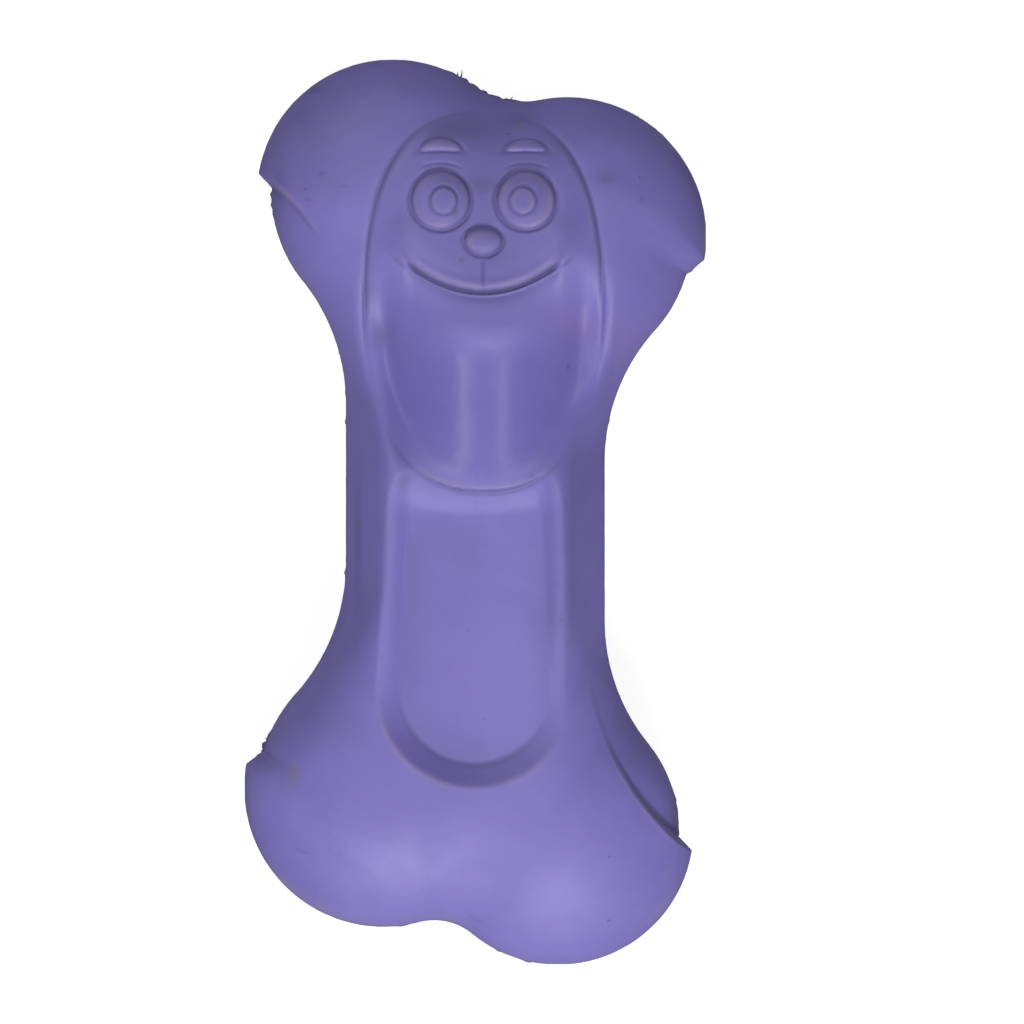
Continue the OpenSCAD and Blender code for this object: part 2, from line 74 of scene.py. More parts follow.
LEDGE_STEP, LEDGE_RUN = 2.8, 2.6
HIGH_LEDGE_RISE, LOW_LEDGE_DROP = 4.0, 4.4
CREASE_R, CREASE_IN = 50.0, 21.0
LEDGE_SOFT_SHARE = 0.5

FRONT_LOBE_DEPTH, FRONT_SHAFT_DEPTH = 14.2, 14.0
BACK_LOBE_DEPTH, BACK_SHAFT_DEPTH = 14.5, 13.5
LOBE_CROWN, LOBE_ROUND, SHAFT_BEVEL = 1.0, 25.0, 8.2
WALL, REST_FLAT, FIT = 4.0, 0.5, 0.1
PART_Z = BACK_LOBE_DEPTH + LOBE_CROWN - REST_FLAT
LOBE_START, LOBE_BLEND = 0.26 * LENGTH / 2, 0.42 * LENGTH / 2
LIP_SHARE, SOFT_TOP_SHARE = 0.15, 0.25

HEAD_HALF_W, HEAD_TOP, CHIN_Y, HEAD_SHIFT = 22.0, 74.6, 3.6, 1.6
HEAD_SQUARE, HEAD_RISE, JAW_RISE, JAW_ROUND, MUZZLE_RISE = 2.4, 2.6, 2.0, 20.0, 1.3
MOUTH_Y, MOUTH_HALF_W, SMILE_RISE = 40.6, 15.0, 6.0
EYE_X, EYE_Y, EYE_R, EYE_RISE, PUPIL_R = 7.9, 57.6, 5.4, 1.7, 2.3
NOSE_Y, NOSE_HALF_W, NOSE_RISE = 49.8, 3.4, 1.8

RECESS_TOP, RECESS_TOP_RISE, RECESS_CORNER_R = -0.4, 1.2, 1.4
RECESS_HALF_W, RECESS_END_R, RECESS_END_Y = 12.3, 14.0, 32.8
RECESS_DEPTH, RECESS_SLOPE, RAMP_LEN = 2.7, 4.3, 8.0

CUP_D, CUP_LEN, CUP_WALL, CAP_T = 19.6, 12.4, 1.2, 1.6
FLANGE_D, FLANGE_T, SOUND_HOLE_D = 23.6, 1.2, 3.2
COLLAR_D, COLLAR_H = 28.0, 4.6
CUP_Z = PART_Z - BACK_SHAFT_DEPTH + FIT

# ---- Finer sizes of the front, which this script sets itself ----

# Creases: width of the step, how early it starts, where the upper ones die out
CREASE_W, CREASE_LEAD = 1.1, 0.3
UPPER_CREASE_FROM, UPPER_CREASE_FADE = 49, 9
CROWN_POWER = 1.5
# Top of the shaft's slope: where it starts to soften, over what length and by how much more
SOFTEN_FROM, SOFTEN_OVER, SOFTEN_EXTRA = 16, 22, 3
# The jaw's arch: width of its edge, how far it fades on each side of the mouth
JAW_EDGE_W, JAW_FADE = 2.5, 8
# Recess: softness of its wall's corners, how dished the floor is and over what width
SLOPE_SOFT, DISH, DISH_W = 0.12, 0.2, 9
# How much of the ramp stays level below the chin, and the step there
CHIN_LIFT, CHIN_STEP, CHIN_SOFT = 0.8, 0.4, 0.2
# Height of the shallow waves of a soft moulding
UNEVEN, UNEVEN_FINE = 0.05, 0.035

# Head: the line round it, and its rim. Both fade towards the top of the head.
HEAD_LINE_W, HEAD_LINE_OUT, HEAD_LINE_DEPTH, HEAD_LINE_FADE = 0.34, 0.2, 0.26, 9
RIM_SHARE, RIM_W, RIM_SOFT, RIM_FADE = 0.15, 0.8, 0.4, 12
FACE_EDGE_W = 1.5
# From the jaw to the face: where the rim and where the height start to change, and how long
RIM_FROM_Y, LEVEL_FROM_Y, FACE_BLEND = 20, 30, 22
CHIN_LINE_TOP, CHIN_LINE_FADE = 14, 10
CHIN_LINE_W, CHIN_LINE_IN, CHIN_LINE_DEPTH = 0.32, 0.1, 0.12
# Mouth: its slit, the lips on both sides of it, the raised muzzle over it
SLIT_W, SLIT_DEPTH, CORNER_FADE = 0.42, 1.7, 2.5
LIP_RISE, LIP_BELOW, LIP_W, LIP_FADE = 0.9, 7.4, 3.2, 14
LIP_DIP, LIP_DIP_BELOW, LIP_DIP_W = 0.1, 1.8, 2.6
UPPER_LIP_RISE, UPPER_LIP_UP, UPPER_LIP_W = 0.35, 1.3, 1.1
ROLL_DEPTH, ROLL_W = 0.6, 1.7
MUZZLE_REACH, MUZZLE_HALF_W, MUZZLE_FADE = 9, 20, 8
CHEEK_X, CHEEK_Y, CHEEK_W, CHEEK_H, CHEEK_RISE = 13.4, 51, 4.6, 4.2, 0.7
# Eyes: the groove round each, the pupil and its ring, the line of the lid
SOCKET_OUT, SOCKET_W, SOCKET_DEPTH = 0.3, 0.42, 0.32
PUPIL_IN, PUPIL_DOWN, PUPIL_RISE, PUPIL_EDGE = 0.6, 0.1, 0.3, 0.5
RING_OUT, RING_W, RING_DEPTH = 0.35, 0.3, 0.22
LID_UP, LID_BEND, LID_HALF_W = 1.6, 3.6, 4.6
LID_W, LID_DEPTH, LID_FADE = 0.35, 0.22, 2.4
BROW_UP, BROW_BEND, BROW_HALF_W = 1.95, 3.4, 3.7
BROW_H, BROW_RISE = 1.2, 0.7
BROW_EDGE_W, BROW_EDGE_DEPTH = 0.28, 0.18
# Nose: its height as a share of its width, its taper, and the fold down to the mouth
NOSE_H_SHARE, NOSE_TAPER, NOSE_FLATNESS = 0.72, 0.16, 0.9
NOSE_EDGE_W, NOSE_EDGE_DEPTH = 0.34 / 2.4, 0.22
FOLD_W, FOLD_DEPTH = 0.34, 0.3
FOLD_FROM, FOLD_TO, FOLD_FADE = 0.4, 2.7, 1.2
# Where the grooves round brow and nose run, as a share of the feature's radius
AROUND = 1.1
# How much painted shade each line holds; the chin's line holds grime too
SLIT_SHADE, HEAD_LINE_SHADE, CHIN_SHADE_AND_GRIME = 1.2, 0.16, 0.5
GROOVE_SHADE, RING_SHADE = 0.22, 0.16

FAR = 2 * LENGTH
TINY = 1e-9


# ---- Profiles ----


def mix(a, b, t):
    return a + (b - a) * t


def ease(t):
    c = np.clip(t, 0, 1)
    return c * c * (3 - 2 * c)


def rounded(t):
    return np.sqrt(1 - (1 - np.clip(t, 0, 1)) ** 2)


def dome(t):
    return np.sqrt(np.clip(1 - t * t, 0, None))


def above_zero(t, k):
    """t where it is positive, else 0, with the corner rounded over k."""
    return np.where(t <= -k, 0, np.where(t >= k, t, (t + k) ** 2 / (4 * k)))


def ramp(t, k):
    """A straight rise from 0 to 1 with rounded corners."""
    return above_zero(t, k) - above_zero(t - 1, k)


def bell(t):
    return np.exp(-t * t)


def bevelled(t, soft=SOFT_TOP_SHARE):
    s = mix(np.maximum(t, 0), np.sqrt(np.clip(t, 0, 1)), LIP_SHARE)
    return s - above_zero(s - 1, soft)


# ---- The outline: arcs and lines, folded by the toy's half turn ----

Side = namedtuple("Side", "lobe r body tip heel neck hollow half")
End = namedtuple("End", "high low dip dip_r")

HIGH_CENTRE = np.array([WIDTH / 2 - LOW_LOBE_R - HIGH_LOBE_INSET, LENGTH / 2 - HIGH_LOBE_R])
LOW_CENTRE = np.array([WIDTH / 2 - LOW_LOBE_R, HIGH_CENTRE[1] - LOBE_SKEW])


def mirrored(p):
    return np.array([-p[0], p[1]])


def angle_of(v):
    return math.degrees(math.atan2(v[1], v[0]))


def make_side(high, inset, stepped):
    """One side of one end, with x as the distance from the long axis."""
    lobe = HIGH_CENTRE if high else LOW_CENTRE
    r = (HIGH_LOBE_R if high else LOW_LOBE_R) - inset
    body = lobe - [LEDGE_STEP, 0]
    centre = lobe if stepped else body
    rise = HIGH_LEDGE_RISE if high else -LOW_LEDGE_DROP
    half, hollow = SHAFT_W / 2 - inset, NECK_R + inset
    neck_x = half + hollow
    neck_y = body[1] - math.sqrt((r + hollow) ** 2 - (neck_x - body[0]) ** 2)
    tip = centre + [math.sqrt(r * r - rise * rise), rise]
    heel_y = tip[1] - LEDGE_RUN if stepped else tip[1]
    heel = np.array([body[0] + math.sqrt(r * r - (heel_y - body[1]) ** 2), heel_y])
    return Side(centre, r, body, tip, heel, np.array([neck_x, neck_y]), hollow, half)


def touching(a, ra, b, rb, r):
    """Centre of a circle of radius r that touches two circles from outside."""
    gap = np.linalg.norm(b - a)
    along = ((ra + r) ** 2 - (rb + r) ** 2 + gap * gap) / (2 * gap)
    up = math.sqrt((ra + r) ** 2 - along * along)
    step = (b - a) / gap
    return a + along * step + up * np.array([-step[1], step[0]])


def make_end(dip_r, inset, stepped):
    high, low = make_side(True, inset, stepped), make_side(False, inset, stepped)
    dip_r += inset
    dip = touching(mirrored(high.lobe), high.r, low.lobe, low.r, dip_r)
    return End(high, low, dip, dip_r)


def make_outline(inset, stepped):
    return [make_end(r, inset, stepped) for r in (FACE_DIP_R, FOOT_DIP_R)]


OUTER = make_outline(0, True)
INNER = make_outline(WALL, False)


def arc_distance(p, centre, r, start, stop):
    """Distance of points from an arc, for points in the arc's sector only."""
    v = p - centre
    angle = np.degrees(np.arctan2(v[:, 1], v[:, 0]))
    inside = (angle >= start) & (angle <= stop)
    return np.where(inside, np.abs(np.hypot(v[:, 0], v[:, 1]) - r), FAR)


def segment_distance(p, a, b):
    length2 = max((b - a) @ (b - a), TINY)
    t = np.clip((p - a) @ (b - a) / length2, 0, 1)
    return np.linalg.norm(p - (a + t[:, None] * (b - a)), axis=1)


def lobe_distance(p, side, dip):
    """Distance from a lobe's arc, or from its tip for points past that."""
    v = p - side.lobe
    angle = np.degrees(np.arctan2(v[:, 1], v[:, 0]))
    on_arc = np.abs(np.hypot(v[:, 0], v[:, 1]) - side.r)
    from_tip = np.hypot(*(p - side.tip).T)
    before_tip = np.where(angle >= angle_of(side.tip - side.lobe), on_arc, from_tip)
    return np.where(angle > angle_of(dip - side.lobe), FAR, before_tip)


def edge_distance(x, y, outline):
    """Distance of points inside the outline from it, softened inwards of the ledges."""
    turned = y < 0
    qx, qy = np.where(turned, -x, x), np.abs(y)
    distance = np.full(x.shape, FAR)
    for end, at_end in zip(outline, (~turned, turned)):
        high, low = mirrored(end.high.lobe), end.low.lobe
        for side, here in ((end.high, at_end & (qx < 0)), (end.low, at_end & (qx >= 0))):
            q = np.stack([qx[here], qy[here]], 1)
            m = np.abs(q)
            below = m[:, 1] <= side.neck[1]
            dip = mirrored(end.dip) if side is end.high else end.dip
            to_body = angle_of(side.body - side.neck)
            trunk = np.minimum.reduce([
                np.where(below, np.abs(side.half - m[:, 0]), FAR),
                np.where(below, FAR, arc_distance(m, side.neck, side.hollow, to_body, 180)),
                arc_distance(m, side.body, side.r, angle_of(side.neck - side.body),
                             angle_of(side.heel - side.body)),
                segment_distance(m, side.tip, side.heel),
            ])
            lobes = np.minimum.reduce([
                lobe_distance(m, side, dip),
                arc_distance(q, high, end.high.r, angle_of(end.dip - high), 180),
                arc_distance(q, end.dip, end.dip_r, angle_of(high - end.dip),
                             angle_of(low - end.dip)),
            ])
            soft = LEDGE_SOFT_SHARE * np.minimum(trunk, lobes)
            distance[here] = trunk - above_zero(trunk - lobes, np.maximum(soft, TINY))
    return distance


# ---- Height over the bonding plane ----


def lobe_weight(y):
    return ease((np.abs(y) - LOBE_START) / LOBE_BLEND)


def crown(x, y):
    qx, qy = np.where(y < 0, -x, x), np.abs(y)
    high = 1 - (np.hypot(qx + HIGH_CENTRE[0], qy - HIGH_CENTRE[1]) / HIGH_LOBE_R) ** 2
    low = 1 - (np.hypot(qx - LOW_CENTRE[0], qy - LOW_CENTRE[1]) / LOW_LOBE_R) ** 2
    return LOBE_CROWN * (np.maximum(high, 0) ** CROWN_POWER + np.maximum(low, 0) ** CROWN_POWER)


def head_reach(x, y):
    """1 on the outline of the head, less inside it."""
    half_len = (HEAD_TOP - CHIN_Y) / 2
    across = np.abs(x - HEAD_SHIFT) / HEAD_HALF_W
    along = np.abs(y - CHIN_Y - half_len) / half_len
    return (across**HEAD_SQUARE + along**HEAD_SQUARE) ** (1 / HEAD_SQUARE)


def inside_head(x, y):
    """About how far inside the outline of the head a point lies."""
    return (1 - head_reach(x, y)) * HEAD_HALF_W


def crease(x, y, front):
    """Distance past the crease, depth inside the lobe, and whether this half has the crease."""
    qx, qy = np.where(y < 0, -x, x), np.abs(y)
    high = qx < 0
    past = np.zeros(x.shape)
    drop = np.zeros(x.shape)
    for side, here in ((OUTER[0].high, high), (OUTER[0].low, ~high)):
        m = np.stack([np.abs(qx[here]), qy[here]], 1)
        cx = CREASE_IN + CREASE_R
        cy = side.heel[1] - math.sqrt(CREASE_R**2 - (cx - side.heel[0]) ** 2)
        past[here] = np.hypot(m[:, 0] - cx, m[:, 1] - cy) - CREASE_R
        drop[here] = side.r - np.hypot(m[:, 0] - side.lobe[0], m[:, 1] - side.lobe[1])
    return past, drop, high == front


def bone_height(x, y, front):
    edge = edge_distance(x, y, OUTER)
    past, drop, on_this_half = crease(x, y, front)
    lasting = np.where(y > 0, ease((y - UPPER_CREASE_FROM) / UPPER_CREASE_FADE), 1)
    over = ease(past / CREASE_W + CREASE_LEAD) * lasting
    weight = lobe_weight(y)
    shaft = FRONT_SHAFT_DEPTH if front else BACK_SHAFT_DEPTH
    lobe = FRONT_LOBE_DEPTH if front else BACK_LOBE_DEPTH
    depth = mix(shaft, lobe, weight) + crown(x, y)
    soft = SOFT_TOP_SHARE * (1 + SOFTEN_EXTRA * ease((np.abs(y) - SOFTEN_FROM) / SOFTEN_OVER))
    plain = mix(bevelled(edge / SHAFT_BEVEL, soft), rounded(edge / LOBE_ROUND), weight)
    raised = rounded(np.maximum(edge, drop) / LOBE_ROUND)
    profile = np.where(on_this_half, mix(plain, raised, over * weight), plain)
    if front:
        jaw = ramp(inside_head(x, y) / JAW_EDGE_W, 1)
        jaw *= ease((MOUTH_Y + JAW_FADE - y) / (2 * JAW_FADE))
        arch = 1 - (x - HEAD_SHIFT) ** 2 / (2 * JAW_ROUND * depth)
        arch = arch - above_zero(arch - edge / SHAFT_BEVEL, SOFT_TOP_SHARE)
        profile = mix(profile, arch, jaw)
    return depth * profile


def recess_reach(x, y):
    """Distance outside the floor of the recess."""
    ax, ay = np.abs(x), y + RECESS_END_Y
    half = mix(RECESS_END_R, RECESS_HALF_W, np.clip(ay / RECESS_END_Y, 0, 1))
    past_top = ay - RECESS_END_Y - RECESS_TOP - RECESS_TOP_RISE * (ax / half) ** 2
    beside = np.where(ay > 0, ax - half, np.hypot(ax, ay) - RECESS_END_R) + RECESS_CORNER_R
    beyond = past_top * RECESS_SLOPE / RAMP_LEN + RECESS_CORNER_R
    corner = np.hypot(np.maximum(beside, 0), np.maximum(beyond, 0))
    return np.minimum(np.maximum(beside, beyond), 0) + corner - RECESS_CORNER_R


def recessed(height, x, y):
    """The height where the recess has a level floor, with a ramp under the chin."""
    reach = recess_reach(x, y)
    under_chin = ramp(inside_head(x, y) / CHIN_STEP, CHIN_SOFT)
    share = (1 - ramp(reach / RECESS_SLOPE, SLOPE_SOFT)) * (1 - CHIN_LIFT * under_chin)
    level = FRONT_SHAFT_DEPTH - RECESS_DEPTH - DISH * ease(-reach / DISH_W)
    return height - share * np.maximum(height - level, 0)


def face_relief(x, y):
    """The moulded head, a plain friendly face over a long jaw: its height, and the painted shade
    in its cut lines.
    """
    fx = x - HEAD_SHIFT
    side = np.abs(fx)
    reach = head_reach(x, y)
    inside = inside_head(x, y)
    on_face = ease(inside / FACE_EDGE_W)
    upper = ease((y - RIM_FROM_Y) / FACE_BLEND)

    head_line = bell((inside + HEAD_LINE_OUT) / HEAD_LINE_W)
    head_line *= ease((HEAD_TOP - y) / HEAD_LINE_FADE) * upper
    rim = RIM_SHARE * upper * ease((HEAD_TOP - y) / RIM_FADE)
    swell = mix(1 - reach**2, 1 - reach**4, upper).clip(0)
    step = rim * ramp(inside / RIM_W, RIM_SOFT) + (1 - rim) * swell
    chin = bell((inside - CHIN_LINE_IN) / CHIN_LINE_W) * ease((CHIN_LINE_TOP - y) / CHIN_LINE_FADE)

    smile = MOUTH_Y + SMILE_RISE * (fx / MOUTH_HALF_W) ** 2
    above = (y - smile) / np.hypot(1, 2 * SMILE_RISE * fx / MOUTH_HALF_W**2)
    in_mouth = ease((MOUTH_HALF_W - side) / CORNER_FADE)
    slit = bell(above / SLIT_W) * in_mouth
    over_mouth = mix(ease((y - LEVEL_FROM_Y) / FACE_BLEND), ease(above + 0.5), in_mouth)
    level = mix(JAW_RISE, HEAD_RISE, over_mouth)
    lip = LIP_RISE * bell((above + LIP_BELOW) / LIP_W)
    lip = lip - LIP_DIP * bell((above + LIP_DIP_BELOW) / LIP_DIP_W) * in_mouth
    lip = lip * ease((MUZZLE_HALF_W - side) / LIP_FADE)
    upper_lip = UPPER_LIP_RISE * bell((above - UPPER_LIP_UP) / UPPER_LIP_W) * in_mouth
    rolled = ROLL_DEPTH * np.where(above < 0, bell(above / ROLL_W), 0) * in_mouth
    muzzle = MUZZLE_RISE * np.where(above > 0, bell(above / MUZZLE_REACH), ease(above + 1))
    muzzle = muzzle * ease((MUZZLE_HALF_W - side) / MUZZLE_FADE)
    cheek = CHEEK_RISE * bell(np.hypot((side - CHEEK_X) / CHEEK_W, (y - CHEEK_Y) / CHEEK_H))

    ex, ey = side - EYE_X, y - EYE_Y
    eye_r = np.hypot(ex, ey)
    socket = bell((eye_r - EYE_R - SOCKET_OUT) / SOCKET_W)
    eye = EYE_RISE * dome(eye_r / EYE_R)
    pupil_r = np.hypot(ex + PUPIL_IN, ey + PUPIL_DOWN)
    pupil = PUPIL_RISE * ease((PUPIL_R - pupil_r) / PUPIL_EDGE + 0.5)
    ring = bell((pupil_r - PUPIL_R - RING_OUT) / RING_W)
    lid_y = ey - EYE_R - LID_UP + ex * ex / (LID_BEND * EYE_R)
    lid = bell(lid_y / LID_W) * ease((LID_HALF_W - np.abs(ex)) / LID_FADE)
    brow_y = ey - BROW_UP * EYE_R + ex * ex / (BROW_BEND * EYE_R)
    brow_r = np.hypot(ex / BROW_HALF_W, brow_y / BROW_H)
    brow = BROW_RISE * dome(brow_r)
    brow_edge = bell((brow_r - AROUND) * BROW_H / BROW_EDGE_W)

    nx, ny = fx / NOSE_HALF_W, (y - NOSE_Y) / (NOSE_H_SHARE * NOSE_HALF_W)
    nose_r = np.hypot(nx * (1 - NOSE_TAPER * ny), ny)
    nose = NOSE_RISE * dome(nose_r) ** NOSE_FLATNESS
    nose_edge = bell((nose_r - AROUND) / NOSE_EDGE_W)
    fold = bell(fx / FOLD_W) * ease(y - MOUTH_Y - FOLD_FROM)
    fold = fold * ease((NOSE_Y - FOLD_TO - y) / FOLD_FADE)

    cuts = SLIT_DEPTH * slit + HEAD_LINE_DEPTH * head_line + CHIN_LINE_DEPTH * chin
    cuts += SOCKET_DEPTH * socket + RING_DEPTH * ring
    cuts += (LID_DEPTH * lid + BROW_EDGE_DEPTH * brow_edge + NOSE_EDGE_DEPTH * nose_edge
             + FOLD_DEPTH * fold) * on_face
    # Painted shade in the cut lines, the mouth's slit darkest, with grime along the chin's line
    lines = SLIT_SHADE * slit + HEAD_LINE_SHADE * head_line + CHIN_SHADE_AND_GRIME * chin
    lines += GROOVE_SHADE * (socket + fold + nose_edge) + RING_SHADE * (ring + lid)
    features = eye + pupil + brow + nose + cheek + upper_lip
    height = step * (level + muzzle + lip) + features * on_face - cuts - rolled
    return height, np.clip(lines, 0, 1)


def wobble(x, y):
    """Shallow unevenness of a soft moulding: two patterns of waves, freely chosen."""
    wide = np.sin(x / 7.1 + 1.3) * np.sin(y / 8.3 + 0.4)
    fine = np.sin((x + y) / 4.7) * np.sin((x - 1.7 * y) / 6.1 + 2)
    return UNEVEN * wide + UNEVEN_FINE * fine


def outer_height(x, y, front):
    height = bone_height(x, y, front)
    if front:
        near_edge = rounded(edge_distance(x, y, OUTER) / WALL)
        height = recessed(height, x, y) + face_relief(x, y)[0] * near_edge
    return height + wobble(x, y)


def inner_height(x, y, front):
    weight = lobe_weight(y)
    shaft = (FRONT_SHAFT_DEPTH if front else BACK_SHAFT_DEPTH) - WALL
    lobe = (FRONT_LOBE_DEPTH if front else BACK_LOBE_DEPTH) - WALL
    edge = edge_distance(x, y, INNER)
    slope = SHAFT_BEVEL * shaft / (shaft + WALL)
    roof = mix(bevelled(edge / slope), rounded(edge / (LOBE_ROUND - WALL)), weight)
    height = bone_height(x, y, front)
    room = (recessed(height, x, y) if front else height) - WALL
    return np.maximum(np.minimum(mix(shaft, lobe, weight) * roof, room), FIT)


# ---- A sheet of points stretched over the outline ----

# How fast the ends' curves fade into the sides, how far the rows are levelled between
# the ledges, and how much the points crowd towards the edge
END_FADE, LEVEL_SHARE, LEVEL_POWER, CROWD_SHARE = 6, 0.56, 4, 0.45
ARC_POINTS_A_DEGREE, LEAST_ARC_POINTS = 4, 8


class Path:
    """A run of arcs (centre, r, from, to) and lines (start, stop), by its length."""

    def __init__(self, *runs):
        points = np.concatenate([self.points(run) for run in runs])
        steps = np.linalg.norm(np.diff(points, axis=0), axis=1)
        keep = np.concatenate([[True], steps > TINY])
        self.xy = points[keep]
        self.s = np.concatenate([[0], np.cumsum(steps[steps > TINY])])
        self.length = self.s[-1]

    @staticmethod
    def points(run):
        if len(run) == 2:
            return np.array(run)
        centre, r, start, stop = run
        count = max(int(abs(stop - start) * ARC_POINTS_A_DEGREE), LEAST_ARC_POINTS)
        a = np.radians(np.linspace(start, stop, count))
        return centre + r * np.stack([np.cos(a), np.sin(a)], 1)

    def at(self, s):
        return np.stack([np.interp(s, self.s, self.xy[:, k]) for k in (0, 1)], -1)


def over_end(end):
    high, low, left = end.high, end.low, mirrored(end.high.lobe)
    return Path(
        (left, high.r, 180 - angle_of(high.tip - high.lobe), angle_of(end.dip - left)),
        (end.dip, end.dip_r, angle_of(left - end.dip), angle_of(low.lobe - end.dip)),
        (low.lobe, low.r, angle_of(end.dip - low.lobe), angle_of(low.tip - low.lobe)),
    )


def down_side(side):
    return Path(
        (side.tip, side.heel),
        (side.body, side.r, angle_of(side.heel - side.body), angle_of(side.neck - side.body)),
        (side.neck, side.hollow, angle_of(side.body - side.neck), 180),
        (np.array([side.half, side.neck[1]]), np.array([side.half, 0.0])),
    )


def side_points(outline, t, turned):
    """Points from a low ledge to the other end's high ledge, for steps t."""
    first = down_side(outline[1 if turned else 0].low)
    last = down_side(outline[0 if turned else 1].high)
    shift = (outline[0].high.tip[1] - outline[0].low.tip[1]) * LEVEL_SHARE
    total = first.length + last.length
    s = t * total - shift * (1 - (2 * t - 1) ** LEVEL_POWER)
    far_side = last.at(total - s) * [1, -1]
    points = np.where((s < first.length)[:, None], first.at(s), far_side)
    return -points if turned else points


def crowded(t):
    return mix(t, (1 - np.cos(np.pi * t)) / 2, CROWD_SHARE)


def sheet(outline, across, along, bias):
    """x and y of a grid over the outline, from the foot to the face."""
    top, bottom = over_end(outline[0]), over_end(outline[1])
    u = crowded(np.linspace(0, 1, across + 1))
    v = crowded(1 - (1 - np.linspace(0, 1, along + 1)) ** bias)
    tops, bottoms = top.at(u * top.length), -bottom.at((1 - u) * bottom.length)
    right, left = side_points(outline, 1 - v, False), side_points(outline, v, True)
    u, v = u[None, :, None], v[:, None, None]
    grid = mix(left[:, None], right[:, None], u)
    grid = grid + v**END_FADE * (tops - mix(tops[0], tops[-1], u[0]))
    return grid + (1 - v) ** END_FADE * (bottoms - mix(bottoms[0], bottoms[-1], u[0]))


def skin(outline, across, along, bias, height):
    """A grid of points raised to their heights, flat at its border."""
    grid = sheet(outline, across, along, bias)
    x, y = grid[..., 0].ravel(), grid[..., 1].ravel()
    z = height(x, y).reshape(grid.shape[:2])
    z[0] = z[-1] = 0
    z[:, 0] = z[:, -1] = 0
    return np.concatenate([grid, z[..., None]], 2)


def grid_faces(rows, columns, start, inside):
    a = (np.arange(rows - 1)[:, None] * columns + np.arange(columns - 1)).ravel() + start
    quads = np.stack([a, a + 1, a + columns + 1, a + columns], 1)
    return quads[:, ::-1] if inside else quads


def border(rows, columns, start):
    index = np.arange(rows * columns).reshape(rows, columns) + start
    return np.concatenate([index[0, :-1], index[:-1, -1], index[-1, :0:-1], index[:0:-1, 0]])


def half_shell(front, across, along, ratio, bias):
    """One half of the hollow bone over the bonding plane: its points, faces and outer grid.

    The inner skin has one cell for each ratio cells of the outer one.
    """
    outer = skin(OUTER, across, along, bias, lambda x, y: outer_height(x, y, front))
    inner = skin(INNER, across // ratio, along // ratio, bias,
                 lambda x, y: inner_height(x, y, front))
    rows, columns = outer.shape[:2]
    in_rows, in_columns = inner.shape[:2]
    faces = grid_faces(rows, columns, 0, False).tolist()
    faces += grid_faces(in_rows, in_columns, rows * columns, True).tolist()
    rim_out = border(rows, columns, 0)
    rim_in = border(in_rows, in_columns, rows * columns)
    for k, a in enumerate(rim_in):
        b = rim_in[(k + 1) % len(rim_in)]
        around = [rim_out[(ratio * k + n) % len(rim_out)] for n in range(ratio + 1)]
        faces.append([int(b), int(a)] + [int(n) for n in around])
    points = np.concatenate([outer.reshape(-1, 3), inner.reshape(-1, 3)])
    return points, faces, outer


# ---- Meshes ----

LATHE_SIDES, SHARP_DEGREES, BACK_SHARP_DEGREES = 96, 40, 35
# In metres: points nearer than the first are one, edges shorter than the second go
SAME_POINT, NO_LENGTH = 1e-7, 1e-8


def new_mesh(name, points, faces):
    """A mesh object from points in millimetres."""
    mesh = bpy.data.meshes.new(name)
    mesh.from_pydata((np.asarray(points) * MM).tolist(), [], faces)
    mesh.update()
    piece = bpy.data.objects.new(name, mesh)
    bpy.context.scene.collection.objects.link(piece)
    mesh.polygons.foreach_set("use_smooth", [True] * len(mesh.polygons))
    return piece


def lathe(name, profile):
    """A closed solid of revolution from (radius, z) points listed anticlockwise."""
    points, faces = [], []
    n = len(profile)
    for a in np.linspace(0, 2 * np.pi, LATHE_SIDES, endpoint=False):
        points += [[r * math.cos(a), r * math.sin(a), z] for r, z in profile]
    for i in range(LATHE_SIDES):
        j = (i + 1) % LATHE_SIDES
        for k in range(n):
            m = (k + 1) % n
            faces.append([i * n + k, j * n + k, j * n + m, i * n + m])
    piece = new_mesh(name, points, faces)
    solid = bmesh.new()
    solid.from_mesh(piece.data)
    bmesh.ops.remove_doubles(solid, verts=solid.verts, dist=SAME_POINT)
    bmesh.ops.dissolve_degenerate(solid, dist=NO_LENGTH, edges=solid.edges)
    bmesh.ops.recalc_face_normals(solid, faces=solid.faces)
    solid.to_mesh(piece.data)
    solid.free()
    piece.data.set_sharp_from_angle(angle=math.radians(SHARP_DEGREES))
    return piece


def combine(piece, tool, operation):
    """Applies a boolean with another object, which is then removed."""
    change = piece.modifiers.new("cut", "BOOLEAN")
    change.object, change.operation, change.solver = tool, operation, "EXACT"
    bpy.context.view_layer.update()
    graph = bpy.context.evaluated_depsgraph_get()
    mesh = bpy.data.meshes.new_from_object(piece.evaluated_get(graph))
    piece.modifiers.clear()
    old, piece.data = piece.data, mesh
    bpy.data.meshes.remove(old)
    bpy.data.objects.remove(tool)


# ---- Materials ----

# Colours as they show on screen, 0 to 255
TINT, FLASH_TINT = (122, 113, 187), (104, 97, 150)
# The first colour on the next line serves both grime and painted shade
GRIME_AND_SHADE, ROSY, STAIN = (79, 74, 112), (146, 112, 168), (124, 118, 146)
SPECK, SCUFF, DUST = (64, 60, 84), (146, 132, 178), (150, 146, 138)
IVORY = (226, 221, 205)
# How far the shades of a tint lie from it; the third is painted light on the recess's side walls
PALER, DEEPER, LIT_WALL_PALER, POLISHED = 9, -12, 14, -24
# How much each layer of the rubber's colour covers of those below it
EVEN_SHARE, FINE_SHARE, ROSY_SHARE = 0.68, 0.10, 0.28
LIT_WALL_SHARE, POLISHED_SHARE = 0.5, 0.24
SMEAR_SHARE, HOLLOW_SHADE_SHARE, RUB_SHARE, MOST_DIRT_AND_SHADE = 0.12, 0.8, 0.7, 0.85
STAIN_SHARE, SPECK_SHARE = 0.6, 0.55
SCUFF_LEAST, SCUFF_MOST = 0.2, 0.62
